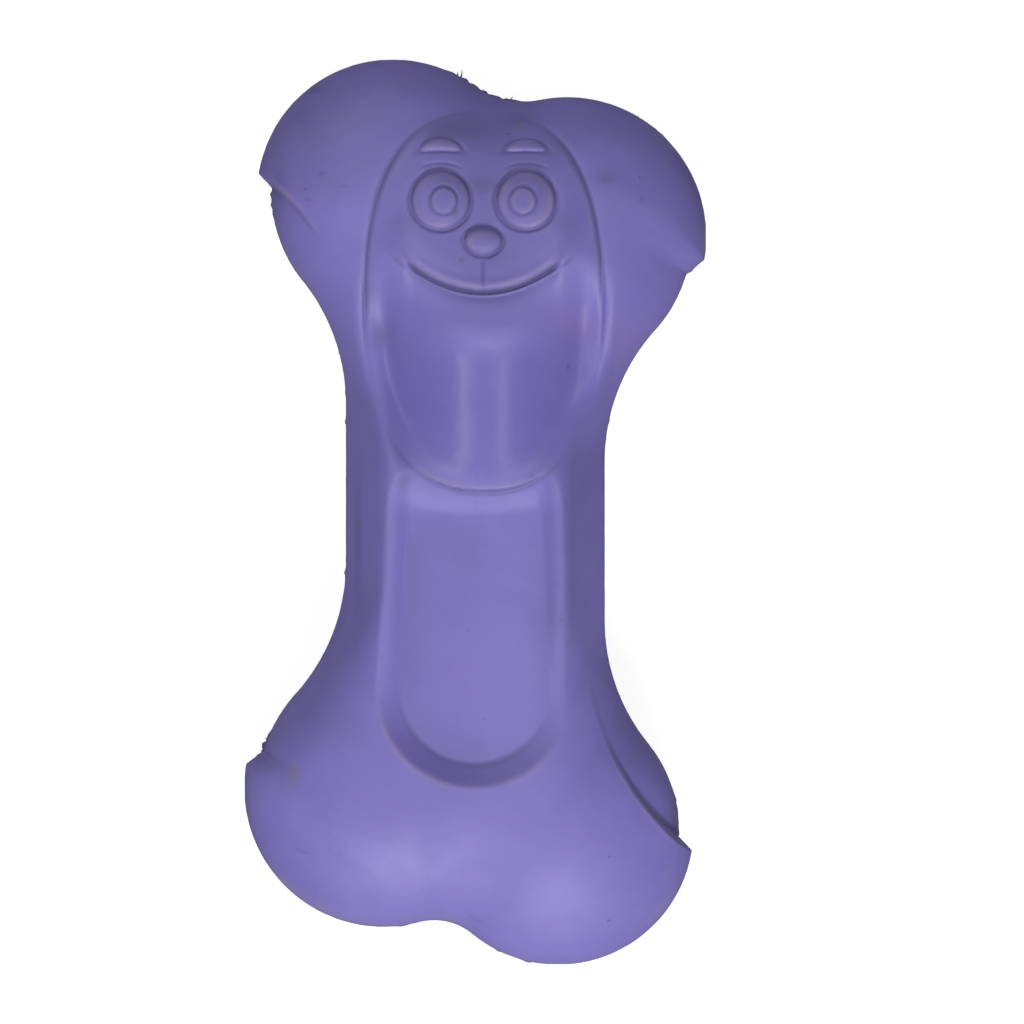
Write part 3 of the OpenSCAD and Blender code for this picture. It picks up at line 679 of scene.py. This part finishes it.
# Roughness. The denoiser leaves a line where it crosses 0.274, so it stays above that.
ROUGH_LOW, ROUGH_HIGH, ROUGH_LEAST = 0.50, 0.60, 0.29
POLISH_SMOOTHS, DIRT_ROUGHENS = 0.33, 0.1
PLASTIC_SMOOTHER, PLASTIC_ROUGHER = 0.06, 0.1
# Bumps: their strength and their depths
BUMP_STRENGTH = 0.5
RUBBER_GRAIN, RUBBER_DENTS, PLASTIC_GRAIN = 0.04, 0.12, 0.02


class Nodes:
    """A short way to write a node tree."""

    def __init__(self, name):
        self.material = bpy.data.materials.new(name)
        self.material.use_nodes = True
        self.tree = self.material.node_tree
        self.shader = self.tree.nodes["Principled BSDF"]
        self.coords = self.add("ShaderNodeTexCoord").outputs["Object"]

    def add(self, kind, **settings):
        node = self.tree.nodes.new(kind)
        for key, value in settings.items():
            setattr(node, key, value)
        return node

    def put(self, value, socket):
        if isinstance(value, bpy.types.NodeSocket):
            self.tree.links.new(value, socket)
        else:
            socket.default_value = value

    def noise(self, scale, detail, roughness=0.6, distortion=0.0, stretch=(1, 1, 1), offset=0.0):
        place = self.add("ShaderNodeMapping")
        self.put(self.coords, place.inputs["Vector"])
        place.inputs["Scale"].default_value = stretch
        # The offset is unequal along the axes, so that no two patterns line up.
        place.inputs["Location"].default_value = (offset, offset * 0.7, offset * 1.3)
        node = self.add("ShaderNodeTexNoise")
        self.put(place.outputs["Vector"], node.inputs["Vector"])
        node.inputs["Scale"].default_value = scale
        node.inputs["Detail"].default_value = detail
        node.inputs["Roughness"].default_value = roughness
        node.inputs["Distortion"].default_value = distortion
        return node.outputs["Fac"]

    def attribute(self, name):
        return self.add("ShaderNodeAttribute", attribute_name=name).outputs["Fac"]

    def math(self, operation, a, b):
        node = self.add("ShaderNodeMath", operation=operation)
        self.put(a, node.inputs[0])
        self.put(b, node.inputs[1])
        return node.outputs[0]

    def times(self, a, b):
        return self.math("MULTIPLY", a, b)

    def span(self, value, low, high, to_low=0.0, to_high=1.0):
        node = self.add("ShaderNodeMapRange", interpolation_type="SMOOTHSTEP")
        for socket, v in zip(("Value", "From Min", "From Max", "To Min", "To Max"),
                             (value, low, high, to_low, to_high)):
            self.put(v, node.inputs[socket])
        return node.outputs["Result"]

    def blend(self, amount, a, b):
        """A mix of two colours. Its colour sockets are inputs 6 and 7 and output 2."""
        node = self.add("ShaderNodeMix", data_type="RGBA")
        self.put(amount, node.inputs["Factor"])
        self.put(a, node.inputs[6])
        self.put(b, node.inputs[7])
        return node.outputs[2]

    def bump(self, height, distance, below=None):
        node = self.add("ShaderNodeBump")
        node.inputs["Strength"].default_value = BUMP_STRENGTH
        node.inputs["Distance"].default_value = distance * MM
        self.put(height, node.inputs["Height"])
        if below is not None:
            self.put(below, node.inputs["Normal"])
        return node.outputs["Normal"]


def srgb(tint, change=0):
    """A screen colour, made lighter or darker by a change, as linear light."""
    levels = [(c + change) / 255 for c in tint]
    return tuple(((c + 0.055) / 1.055) ** 2.4 for c in levels) + (1,)


def rubber(name, tint=TINT):
    """Matt violet rubber: cloudy colour, grime and painted shade in the hollows, painted light on
    the recess's side walls, handling marks.

    The wear, grime, painted light and painted shade of the front come in as its points'
    attributes, which read 0 elsewhere.
    """
    n = Nodes(name)
    cloud = n.span(n.noise(scale=38, detail=5, distortion=0.6), 0.36, 0.66)
    colour = n.blend(cloud, srgb(tint, DEEPER), srgb(tint, PALER))
    colour = n.blend(EVEN_SHARE, colour, srgb(tint))
    fine = n.span(n.noise(scale=900, detail=3), 0.3, 0.75)
    colour = n.blend(n.times(fine, FINE_SHARE), colour, srgb(tint, PALER))
    patch = n.noise(scale=26, detail=3, roughness=0.5, distortion=0.3, offset=4.6)
    patch = n.span(patch, 0.60, 0.74)
    colour = n.blend(n.times(patch, ROSY_SHARE), colour, srgb(ROSY))

    # Painted light on the recess's side walls, then the darker polished jaw
    lit_wall, gloss = n.attribute("lit_wall"), n.attribute("gloss")
    colour = n.blend(n.times(lit_wall, LIT_WALL_SHARE), colour, srgb(tint, LIT_WALL_PALER))
    colour = n.blend(n.times(gloss, POLISHED_SHARE), colour, srgb(tint, POLISHED))

    smear = n.noise(scale=60, detail=6, roughness=0.72, distortion=0.8, stretch=(1, 0.5, 1),
                    offset=7.7)
    smear = n.times(n.span(smear, 0.52, 0.8), SMEAR_SHARE)
    # The hollow attribute is mostly painted shade, with grime along the chin's line; smears and
    # handling rubs are grime
    dirt_and_shade = n.math("ADD", smear, n.times(n.attribute("hollow"), HOLLOW_SHADE_SHARE))
    dirt_and_shade = n.math("ADD", dirt_and_shade, n.times(n.attribute("rub"), RUB_SHARE))
    dirt_and_shade = n.math("MINIMUM", dirt_and_shade, MOST_DIRT_AND_SHADE)
    colour = n.blend(dirt_and_shade, colour, srgb(GRIME_AND_SHADE))
    colour = n.blend(n.times(n.attribute("stain"), STAIN_SHARE), colour, srgb(STAIN))
    patchy = n.noise(scale=110, detail=4, offset=3.1)
    patchy = n.span(patchy, 0.38, 0.62, SCUFF_LEAST, SCUFF_MOST)
    colour = n.blend(n.times(n.attribute("scuffed"), patchy), colour, srgb(SCUFF))
    specks = n.span(n.noise(scale=420, detail=2, roughness=0.5, offset=1.9), 0.765, 0.80)
    colour = n.blend(n.times(specks, SPECK_SHARE), colour, srgb(SPECK))
    n.put(colour, n.shader.inputs["Base Color"])

    uneven = n.noise(scale=70, detail=4, offset=5.0)
    rough = n.span(uneven, 0.3, 0.7, ROUGH_LOW, ROUGH_HIGH)
    rough = n.math("SUBTRACT", rough, n.times(gloss, POLISH_SMOOTHS))
    rough = n.math("ADD", rough, n.times(dirt_and_shade, DIRT_ROUGHENS))
    n.put(n.math("MAXIMUM", rough, ROUGH_LEAST), n.shader.inputs["Roughness"])

    grain = n.bump(n.noise(scale=1500, detail=3), RUBBER_GRAIN)
    dents = n.noise(scale=260, detail=4, distortion=0.3)
    n.put(n.bump(dents, RUBBER_DENTS, grain), n.shader.inputs["Normal"])
    return n.material


def plastic(name, tint, roughness):
    """Moulded plastic with faint flow marks and handling dulling."""
    n = Nodes(name)
    flow = n.noise(scale=160, detail=4, roughness=0.5, distortion=1.2, stretch=(1, 1, 0.3))
    dust = n.noise(scale=700, detail=5, roughness=0.65)
    colour = n.blend(n.span(flow, 0.3, 0.7), srgb(tint), srgb(tint, DEEPER))
    colour = n.blend(n.span(dust, 0.62, 0.8, 0, 0.25), colour, srgb(DUST))
    n.put(colour, n.shader.inputs["Base Color"])
    rough = n.span(dust, 0.3, 0.75, roughness - PLASTIC_SMOOTHER, roughness + PLASTIC_ROUGHER)
    n.put(rough, n.shader.inputs["Roughness"])
    grain = n.bump(n.noise(scale=1200, detail=3), PLASTIC_GRAIN)
    n.put(grain, n.shader.inputs["Normal"])
    return n.material


def dress(piece, material):
    piece.data.materials.clear()
    piece.data.materials.append(material)


# ---- Wear, grime, painted light and painted shade of the front, as numbers for each point that the rubber's material reads ----


def store(piece, name, values):
    layer = piece.data.attributes.new(name, "FLOAT", "POINT")
    full = np.zeros(len(piece.data.vertices), np.float32)
    full[: len(values)] = values
    layer.data.foreach_set("value", full)


def blurred(z, reach):
    """z averaged over a square of grid cells."""
    for axis in (0, 1):
        padded = np.concatenate([np.repeat(z.take([0], axis), reach, axis), z,
                                 np.repeat(z.take([-1], axis), reach, axis)], axis)
        total = np.cumsum(padded, axis)
        low = np.concatenate([np.zeros_like(total.take([0], axis)), total], axis)
        size = z.shape[axis]
        z = (low.take(range(2 * reach + 1, 2 * reach + 1 + size), axis)
             - low.take(range(size), axis)) / (2 * reach + 1)
    return z


def near_marks(x, y, marks):
    """How much of some marks lies at each point."""
    total = np.zeros(x.shape)
    for mx, my, wide, long in marks:
        total += bell(np.hypot((x - mx) / wide, (y - my) / long))
    return np.clip(total, 0, 1)


# Smudges, scratches and rubbed places. Every mark is x, y, reach across, reach along.
SMUDGES = [
    (8.5, 73.5, 3.2, 1.6), (-3.5, 55.0, 0.6, 1.1), (-2.5, 46.5, 0.5, 0.4), (1.0, 60.5, 5.0, 1.8),
    (-36.5, 60.5, 1.6, 4.5), (-18.0, 33.0, 2.4, 3.0), (-20.0, 40.5, 1.5, 4.0),
    (24.5, 62.0, 2.2, 1.4), (31.0, 58.0, 0.6, 0.6), (37.6, -56.5, 0.8, 5.0),
    (-40.2, -46.0, 1.8, 1.0), (-3.0, 71.0, 7.0, 2.4), (-22.0, -5.0, 0.9, 12.0),
    (16.0, -20.0, 0.5, 0.8), (-32.8, -62.9, 0.7, 0.22), (-31.6, -63.4, 0.7, 0.22),
    (-13.0, 5.5, 1.6, 1.4), (-30.0, 79.0, 2.4, 0.8), (-28.3, 62.8, 0.8, 0.25),
    (-24.3, 60.4, 1.0, 0.25), (-31.1, 58.0, 0.6, 0.3), (-6.6, 5.4, 0.35, 0.25),
    (-3.6, 4.3, 0.3, 0.25), (-2.7, 4.1, 0.3, 0.3), (10.5, 6.8, 0.5, 0.3),
]
SMUDGE_STRENGTH = 0.45
# Greyish stains, with a harder edge
STAINS = [(-33.9, -48.7, 0.9, 1.9), (7.7, 71.4, 0.5, 0.35), (8.6, 72.2, 0.8, 0.35)]
STAIN_HARDNESS = 1.5
# Wide places darkened as painted shade, on the right ridge by the recess, the face and both upper
# lobes, each with its strength
PAINTED_SHADE_PLACES = [((15.2, -17, 3.2, 20), 0.26), ((1.6, 50, 15, 13), 0.3), ((-29, 70, 15, 12), 0.24),
        ((33, 58, 10, 12), 0.1)]
# The upper crease, which is left undarkened
UNDARKENED_CREASE = (-34, 56, 9, 9)
# What lies lower than the grid's cells around it is darkened: gain, threshold and most
BLUR_CELLS = 5
SUNK_GAIN, SUNK_LEAST, SUNK_MOST = 2.5, 0.08, 0.4
# What stands higher is scuffed, up to a distance from the middle, with a fade
RAISED_GAIN, RAISED_LEAST = 5, 0.12
SCUFF_X, SCUFF_X_FADE, SCUFF_Y, SCUFF_Y_FADE = 40, 6, 80, 8
# Painted shade at the foot of the recess's wall: full on the left, a share of it on the right
FOOT_SHADE, FOOT_IN, FOOT_W, FOOT_EDGE_W = 0.24, 0.5, 3.5, 0.4
FOOT_RIGHT_SHARE, FOOT_LEFT_FROM, FOOT_SIDE_FADE = 0.4, 0.8, 6
FOOT_TOP, FOOT_TOP_FADE = -1, 7
# Painted light on the side walls of the recess: how much on each side, and where it starts and
# ends
LEFT_WALL_LIGHT, RIGHT_WALL_LIGHT = 0.5, 0.2
WALL_FOOT_W, WALL_TOP_W = 0.4, 0.6
WALL_LIGHT_FROM_Y, WALL_LIGHT_FADE, WALL_LIGHT_PAST_TOP = -44, 6, 9
# Polished jaw: width of its edge, how far below the mouth it starts, and its fade
POLISH_EDGE_W, POLISH_BELOW_MOUTH, POLISH_FADE = 3, 6, 10


def shade_and_grime(x, y, lower):
    """Painted shade and grime in the cut lines, darkening where the surface lies low, and painted
    shade at the foot of the recess's wall and over wide places.
    """
    # Darker where the surface lies lower than the grid's cells around it
    sunken = np.clip(lower * SUNK_GAIN - SUNK_LEAST, 0, SUNK_MOST)
    sunken *= 1 - near_marks(x, y, [UNDARKENED_CREASE])
    reach = recess_reach(x, y)
    # Painted shade on the floor along the foot of the recess's wall
    wall_foot_shade = FOOT_SHADE * bell((reach + FOOT_IN) / FOOT_W)
    wall_foot_shade *= ease(0.5 - reach / FOOT_EDGE_W)
    wall_foot_shade *= mix(FOOT_RIGHT_SHARE, 1, ease(FOOT_LEFT_FROM - x / FOOT_SIDE_FADE))
    wall_foot_shade *= ease((FOOT_TOP - y) / FOOT_TOP_FADE)
    # Painted shade over wide places
    painted_shade = sum(strength * near_marks(x, y, [place]) for place, strength in PAINTED_SHADE_PLACES)
    return np.maximum(face_relief(x, y)[1], np.maximum(sunken, wall_foot_shade) + painted_shade).clip(0, 1)


def painted_wall_light(x, y):
    """Painted light on the side walls of the recess, the left one more."""
    reach = recess_reach(x, y)
    wall = ease(reach / WALL_FOOT_W + 0.5) * ease((RECESS_SLOPE - reach) / WALL_TOP_W + 0.5)
    wall *= ease((y - WALL_LIGHT_FROM_Y) / WALL_LIGHT_FADE) * (y < RECESS_TOP + WALL_LIGHT_PAST_TOP)
    return wall * np.where(x < 0, LEFT_WALL_LIGHT, RIGHT_WALL_LIGHT)


def scuffed_edges(x, y, lower):
    """Raised edges, rubbed to a greyish violet, away from the toy's own edge."""
    inwards = ease((SCUFF_X - np.abs(x)) / SCUFF_X_FADE)
    inwards *= ease((SCUFF_Y - np.abs(y)) / SCUFF_Y_FADE)
    return np.clip(-lower * RAISED_GAIN - RAISED_LEAST, 0, 1) * inwards


def polished_jaw(x, y):
    below_mouth = ease((MOUTH_Y - POLISH_BELOW_MOUTH - y) / POLISH_FADE)
    return ease(inside_head(x, y) / POLISH_EDGE_W) * below_mouth


# ---- The rubber halves ----

# Cells across and along the outer skin, and cells of that for one cell of the inner skin
FRONT_GRID = ((420, 760))
BACK_GRID = ((180, 320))
FRONT_RATIO, BACK_RATIO = 10, 4
# How much finer the rows are towards the face
FRONT_BIAS, BACK_BIAS = 1.3, 1.0

points, faces, outer = half_shell(True, *FRONT_GRID, FRONT_RATIO, FRONT_BIAS)
points[:, 2] = np.minimum(points[:, 2] + PART_Z, cad_box[1][2] / MM)
front_outline = points[border(*outer.shape[:2], 0), :2]
front = new_mesh("front_rubber", points, faces)
x, y = outer[..., 0].ravel(), outer[..., 1].ravel()
lower = (blurred(outer[..., 2], BLUR_CELLS) - outer[..., 2]).ravel()
# Painted shade, with grime along the chin's line
store(front, "hollow", shade_and_grime(x, y, lower))
# Painted light on the recess's side walls
store(front, "lit_wall", painted_wall_light(x, y))
store(front, "gloss", polished_jaw(x, y))
store(front, "scuffed", scuffed_edges(x, y, lower))
store(front, "rub", SMUDGE_STRENGTH * near_marks(x, y, SMUDGES))
store(front, "stain", ease(STAIN_HARDNESS * near_marks(x, y, STAINS)))
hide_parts("front_half")
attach(front, "toy")

points, faces, outer = half_shell(False, *BACK_GRID, BACK_RATIO, BACK_BIAS)
points[:, 2] = np.maximum(PART_Z - points[:, 2], 0)
faces = [face[::-1] for face in faces]
back = new_mesh("back_rubber", points, faces)

# The collar's root lies inside the wall. The bore runs from below the toy into its hollow.
INNER_WALL_Z = PART_Z - BACK_SHAFT_DEPTH + WALL
COLLAR_ROOT_Z, COLLAR_TOP_Z = INNER_WALL_Z - WALL / 2, INNER_WALL_Z + COLLAR_H
HOLE_R, SEAT_R = CUP_D / 2 + FIT, FLANGE_D / 2 + FIT
FLANGE_TOP = CUP_Z + FLANGE_T
SEAT_CHAMFER, SEAT_CHAMFER_FROM, SEAT_CHAMFER_TO = 0.35, -0.12, 0.25
BELOW_ALL = -1

combine(back, lathe("collar", [
    (0, COLLAR_ROOT_Z), (COLLAR_D / 2, COLLAR_ROOT_Z),
    (COLLAR_D / 2, COLLAR_TOP_Z), (0, COLLAR_TOP_Z)]), "UNION")
combine(back, lathe("bore", [
    (0, BELOW_ALL), (SEAT_R + SEAT_CHAMFER, BELOW_ALL),
    (SEAT_R + SEAT_CHAMFER, CUP_Z + SEAT_CHAMFER_FROM), (SEAT_R, CUP_Z + SEAT_CHAMFER_TO),
    (SEAT_R, FLANGE_TOP), (HOLE_R, FLANGE_TOP), (HOLE_R, PART_Z), (0, PART_Z)]), "DIFFERENCE")
back.data.set_sharp_from_angle(angle=math.radians(BACK_SHARP_DEGREES))
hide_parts("back_half")
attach(back, "toy")

dress(front, rubber("violet_rubber_front"))
dress(back, rubber("violet_rubber_back"))

# ---- Flash: the ragged lip of rubber along the parting line ----

# Ragged stretches: x and y of the place, its reach, how far it stands out
RAGGED = [
    (-2.5, 82.0, 3.0, 0.65), (2.5, 79.3, 3.0, 0.5), (6.5, 77.6, 2.0, 0.4),
    (-23.6, 30.2, 1.2, 0.5), (-23.8, 22.8, 0.8, 0.35), (-24.0, 17.0, 0.6, 0.4),
    (24.6, 17.4, 0.7, 0.4), (25.4, 13.4, 0.6, 0.45), (-38.4, 58.6, 3.4, 0.45),
    (-39.2, -43.6, 2.0, 0.8), (38.8, -55.0, 2.4, 0.35), (38.9, -60.2, 1.2, 0.4),
    (31.5, 75.6, 1.0, 0.35), (34.6, 71.4, 1.0, 0.3), (-13.5, -77.6, 1.4, 0.3),
    (4.6, -81.9, 0.7, 0.35), (10.0, -84.8, 1.2, 0.3), (-41.0, -48.6, 1.4, 0.3),
    (40.5, 45.4, 1.0, 0.4), (-24.2, -11.5, 0.7, 0.3),
]
# How far apart the tears in them are
TEAR_STEP = 0.7
# The flash elsewhere: its least and its extra width, smoothed over some points
FLASH_LEAST, FLASH_EXTRA, FLASH_SMOOTH_POINTS = 0.05, 0.07, 5
# How far its edge wanders up and down, and over how many points of the outline
FLASH_WANDER, WANDER_POINTS = 0.12, 41.0
# Its section: distance out of the outline (None for its edge) and height
FLASH_SECTION = [(-0.5, 0.0), (-0.05, 0.22), (None, 0.03), (-0.05, -0.22)]
FLASH_SEED = 14

# Loose slivers: x and y of the root, direction in degrees, length, thickness
SLIVERS = [
    (-3.4, 82.0, 100, 0.8, 0.6), (-2.7, 81.8, 58, 1.6, 0.5), (0.2, 80.0, 50, 0.6, 0.5),
    (1.3, 79.2, 40, 0.6, 0.5), (6.6, 77.6, 75, 1.0, 0.45),
    (-25.4, 29.9, 170, 0.4, 0.3), (-24.3, 22.9, 185, 0.35, 0.24),
    (-24.0, 17.2, 160, 0.35, 0.24), (24.6, 17.5, 10, 0.35, 0.24), (24.4, 13.6, 20, 0.35, 0.24),
    (-38.6, -43.2, 140, 0.9, 0.45), (-39.6, -44.0, 100, 0.8, 0.4),
    (-40.4, -44.6, 150, 0.6, 0.36), (38.8, -60.6, -30, 0.4, 0.28),
    (-38.4, 57.0, 200, 0.45, 0.28), (31.6, 75.8, 60, 0.4, 0.24),
]
SLIVER_STEPS, SLIVER_SIDES = 5, 6
# How deep a sliver's root lies, how much it thins, how far it curls up and sideways
ROOT_DEPTH, THINNING, CURL_UP, CURLS = 0.3, 0.85, 0.25, (-0.3, 0.4)


def unit(v):
    return v / np.linalg.norm(v, axis=-1, keepdims=True)


def rolling_mean(values, window):
    """The mean of values about each place of a closed ring."""
    means = np.convolve(np.tile(values, 3), np.ones(window) / window, "same")
    return means[len(values):-len(values)]


def flash_ring(outline):
    """A thin closed lip round the outline, wider where the trim was ragged."""
    rng = np.random.default_rng(FLASH_SEED)
    count = len(outline)
    along = unit(np.roll(outline, -2, 0) - np.roll(outline, 2, 0))
    out = np.stack([along[:, 1], -along[:, 0]], 1)
    wide = FLASH_LEAST + FLASH_EXTRA * rolling_mean(rng.random(count), FLASH_SMOOTH_POINTS)
    travelled = np.cumsum(np.linalg.norm(np.diff(outline, axis=0), axis=1))
    travelled = np.concatenate([[0], travelled])
    tears = np.arange(0, travelled[-1] + TEAR_STEP, TEAR_STEP)
    torn = np.interp(travelled, tears, rng.random(len(tears)))
    for x, y, reach, stands in RAGGED:
        near = bell(np.hypot(outline[:, 0] - x, outline[:, 1] - y) / reach)
        wide += stands * near * torn
    wander = FLASH_WANDER * np.sin(np.arange(count) / WANDER_POINTS)
    limit = np.array([WIDTH / 2, LENGTH / 2])
    points, faces = [], []
    for reach, rise in FLASH_SECTION:
        shift, lift = (wide, rise + wander) if reach is None else (reach, np.full(count, rise))
        xy = np.clip(outline + out * np.broadcast_to(shift, count)[:, None], -limit, limit)
        points.append(np.column_stack([xy, PART_Z + lift]))
    for k in range(len(FLASH_SECTION)):
        m = (k + 1) % len(FLASH_SECTION)
        for i in range(count):
            j = (i + 1) % count
            faces.append([k * count + i, k * count + j, m * count + j, m * count + i])
    return np.concatenate(points), faces


def slivers(outline):
    """Small tapered shreds that curl up from the nearest place of the parting line."""
    points, faces = [], []
    sides = range(SLIVER_SIDES)
    for n, (near_x, near_y, heading, length, thick) in enumerate(SLIVERS):
        x, y = outline[np.hypot(outline[:, 0] - near_x, outline[:, 1] - near_y).argmin()]
        a = math.radians(heading)
        start = len(points)
        for k in range(SLIVER_STEPS + 1):
            t = k / SLIVER_STEPS
            bend = a + CURLS[n % 2] * t
            root = ROOT_DEPTH * (1 - t)
            cx = x + length * t * math.cos(bend) - root * math.cos(a)
            cy = y + length * t * math.sin(bend) - root * math.sin(a)
            cz = PART_Z + CURL_UP * length * t * t
            r = thick / 2 * (1 - THINNING * t)
            for b in (2 * math.pi * c / SLIVER_SIDES for c in sides):
                points.append([cx - r * math.sin(bend) * math.cos(b),
                               cy + r * math.cos(bend) * math.cos(b), cz + r * math.sin(b)])
        for k in range(SLIVER_STEPS):
            ring = start + SLIVER_SIDES * k
            for c in sides:
                p, q = ring + c, ring + (c + 1) % SLIVER_SIDES
                faces.append([p, q, q + SLIVER_SIDES, p + SLIVER_SIDES])
        last = start + SLIVER_SIDES * SLIVER_STEPS
        faces += [[start + c for c in reversed(sides)], [last + c for c in sides]]
    return points, faces


ring_points, ring_faces = flash_ring(front_outline)
flash = new_mesh("parting_flash", ring_points, ring_faces)
shreds = new_mesh("flash_slivers", *slivers(front_outline))
for piece in (flash, shreds):
    dress(piece, rubber(piece.name + "_rubber", FLASH_TINT))
    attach(piece, "toy")

# ---- Squeaker ----

CUP_R, CUP_TOP = CUP_D / 2, CUP_Z + CUP_LEN
BORE_R, CAP_SEAT = CUP_R - CUP_WALL, CUP_WALL * 2 / 3
CAP_Z = CUP_TOP - CAP_T
CHAMFER = 0.3
# The shallow moat round the sound hole: its radii, its slope and its depth
MOAT_IN_R, MOAT_OUT_R, MOAT_SLOPE, MOAT_DEPTH = 5.2, 8.6, 0.3, 0.25
IVORY_ROUGH = 0.38
INNER_PLASTICS = [("squeaker_cap", (221, 219, 208), 0.4), ("reed_bed", (236, 233, 222), 0.34),
                  ("reed", (240, 236, 214), 0.22)]

SOUND_R = SOUND_HOLE_D / 2
cup = lathe("squeaker_case", [
    (SOUND_R + CHAMFER, CUP_Z), (MOAT_IN_R, CUP_Z),
    (MOAT_IN_R + MOAT_SLOPE, CUP_Z + MOAT_DEPTH), (MOAT_OUT_R - MOAT_SLOPE, CUP_Z + MOAT_DEPTH),
    (MOAT_OUT_R, CUP_Z), (FLANGE_D / 2 - CHAMFER, CUP_Z), (FLANGE_D / 2, CUP_Z + CHAMFER),
    (FLANGE_D / 2, FLANGE_TOP), (CUP_R, FLANGE_TOP), (CUP_R, CUP_TOP),
    (BORE_R, CUP_TOP), (BORE_R, CAP_Z), (BORE_R - CAP_SEAT, CAP_Z),
    (BORE_R - CAP_SEAT, FLANGE_TOP), (SOUND_R, FLANGE_TOP), (SOUND_R, CUP_Z + CHAMFER)])
dress(cup, plastic("ivory_plastic", IVORY, IVORY_ROUGH))
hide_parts("squeaker_cup")
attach(cup, "toy")
for node, tint, roughness in INNER_PLASTICS:
    dress(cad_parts[node], plastic(node + "_plastic", tint, roughness))

# ---- Camera: straight above the toy, at the photo's scale ----

PHOTO_PIXELS, MM_A_PIXEL = 1024, 0.188
FRAME_W = MM_A_PIXEL * PHOTO_PIXELS * MM
VIEW_X, VIEW_DISTANCE, SENSOR_W = 6.9 * MM, 1.0, 36

scene = bpy.context.scene
scene.view_settings.view_transform = "Standard"
camera_data = bpy.data.cameras.new("camera")
camera_data.sensor_width = SENSOR_W
camera_data.lens = SENSOR_W * VIEW_DISTANCE / FRAME_W
camera = bpy.data.objects.new("camera", camera_data)
camera.location = (VIEW_X, 0, PART_Z * MM + VIEW_DISTANCE)
scene.collection.objects.link(camera)
scene.camera = camera

# ---- Light: two long lamps for the jaw's stripes, one low over the foot, two soft ones ----

# Name, place, target, width, height and power, in metres and watts
LAMPS = [
    ("strip_left", (-0.41, 0.02, 1.0), (0, 0.02, 0.02), 0.9, 0.06, 1.6),
    ("strip_right", (0.41, 0.02, 1.0), (0, 0.02, 0.02), 0.9, 0.06, 1.15),
    ("key", (0.07, -0.70, 0.62), (0, 0, 0.02), 0.37, 0.15, 5.8),
    ("overhead", (0, 0, 1.2), (0, 0, 0), 1.2, 1.2, 1.2),
    ("back_fill", (-0.4, 0.88, 0.6), (0, 0, 0.02), 0.5, 0.3, 2.1),
]
WORLD_LIGHT, WHITE = 0.18, (1, 1, 1, 1)

for name, place, target, width, height, power in LAMPS:
    light = bpy.data.lights.new(name, "AREA")
    light.energy = power
    light.shape = "RECTANGLE"
    light.size, light.size_y = width, height
    item = bpy.data.objects.new(name, light)
    item.location = place
    item.rotation_euler = (Vector(target) - Vector(place)).to_track_quat("-Z", "Y").to_euler()
    scene.collection.objects.link(item)

# The world gives little light, and is white where the camera sees it.
world = bpy.data.worlds.new("world")
scene.world = world
world.use_nodes = True
tree = world.node_tree
background = tree.nodes["Background"]
path = tree.nodes.new("ShaderNodeLightPath")
level = tree.nodes.new("ShaderNodeMapRange")
level.inputs["To Min"].default_value = WORLD_LIGHT
level.inputs["To Max"].default_value = 1.0
tree.links.new(path.outputs["Is Camera Ray"], level.inputs["Value"])
tree.links.new(level.outputs["Result"], background.inputs["Strength"])
background.inputs["Color"].default_value = WHITE

# ---- Floor: grey for the light that it throws back, nearly white to the camera ----

# Just below the toy, so that the two never lie in one plane
FLOOR_HALF, FLOOR_Z = 3000, -0.05
FLOOR_GREY, FLOOR_ROUGH, FLOOR_SHINE, FLOOR_GLOW = (0.3, 0.3, 0.31, 1), 0.9, 0.1, 0.88

corners = [(-1, -1), (1, -1), (1, 1), (-1, 1)]
floor = new_mesh("floor", [(x * FLOOR_HALF, y * FLOOR_HALF, FLOOR_Z) for x, y in corners],
                 [[0, 1, 2, 3]])
n = Nodes("pale_floor")
n.shader.inputs["Base Color"].default_value = FLOOR_GREY
n.shader.inputs["Roughness"].default_value = FLOOR_ROUGH
n.shader.inputs["Specular IOR Level"].default_value = FLOOR_SHINE
n.shader.inputs["Emission Color"].default_value = WHITE
seen = n.add("ShaderNodeLightPath").outputs["Is Camera Ray"]
n.put(n.times(seen, FLOOR_GLOW), n.shader.inputs["Emission Strength"])
dress(floor, n.material)

bpy.context.view_layer.update()
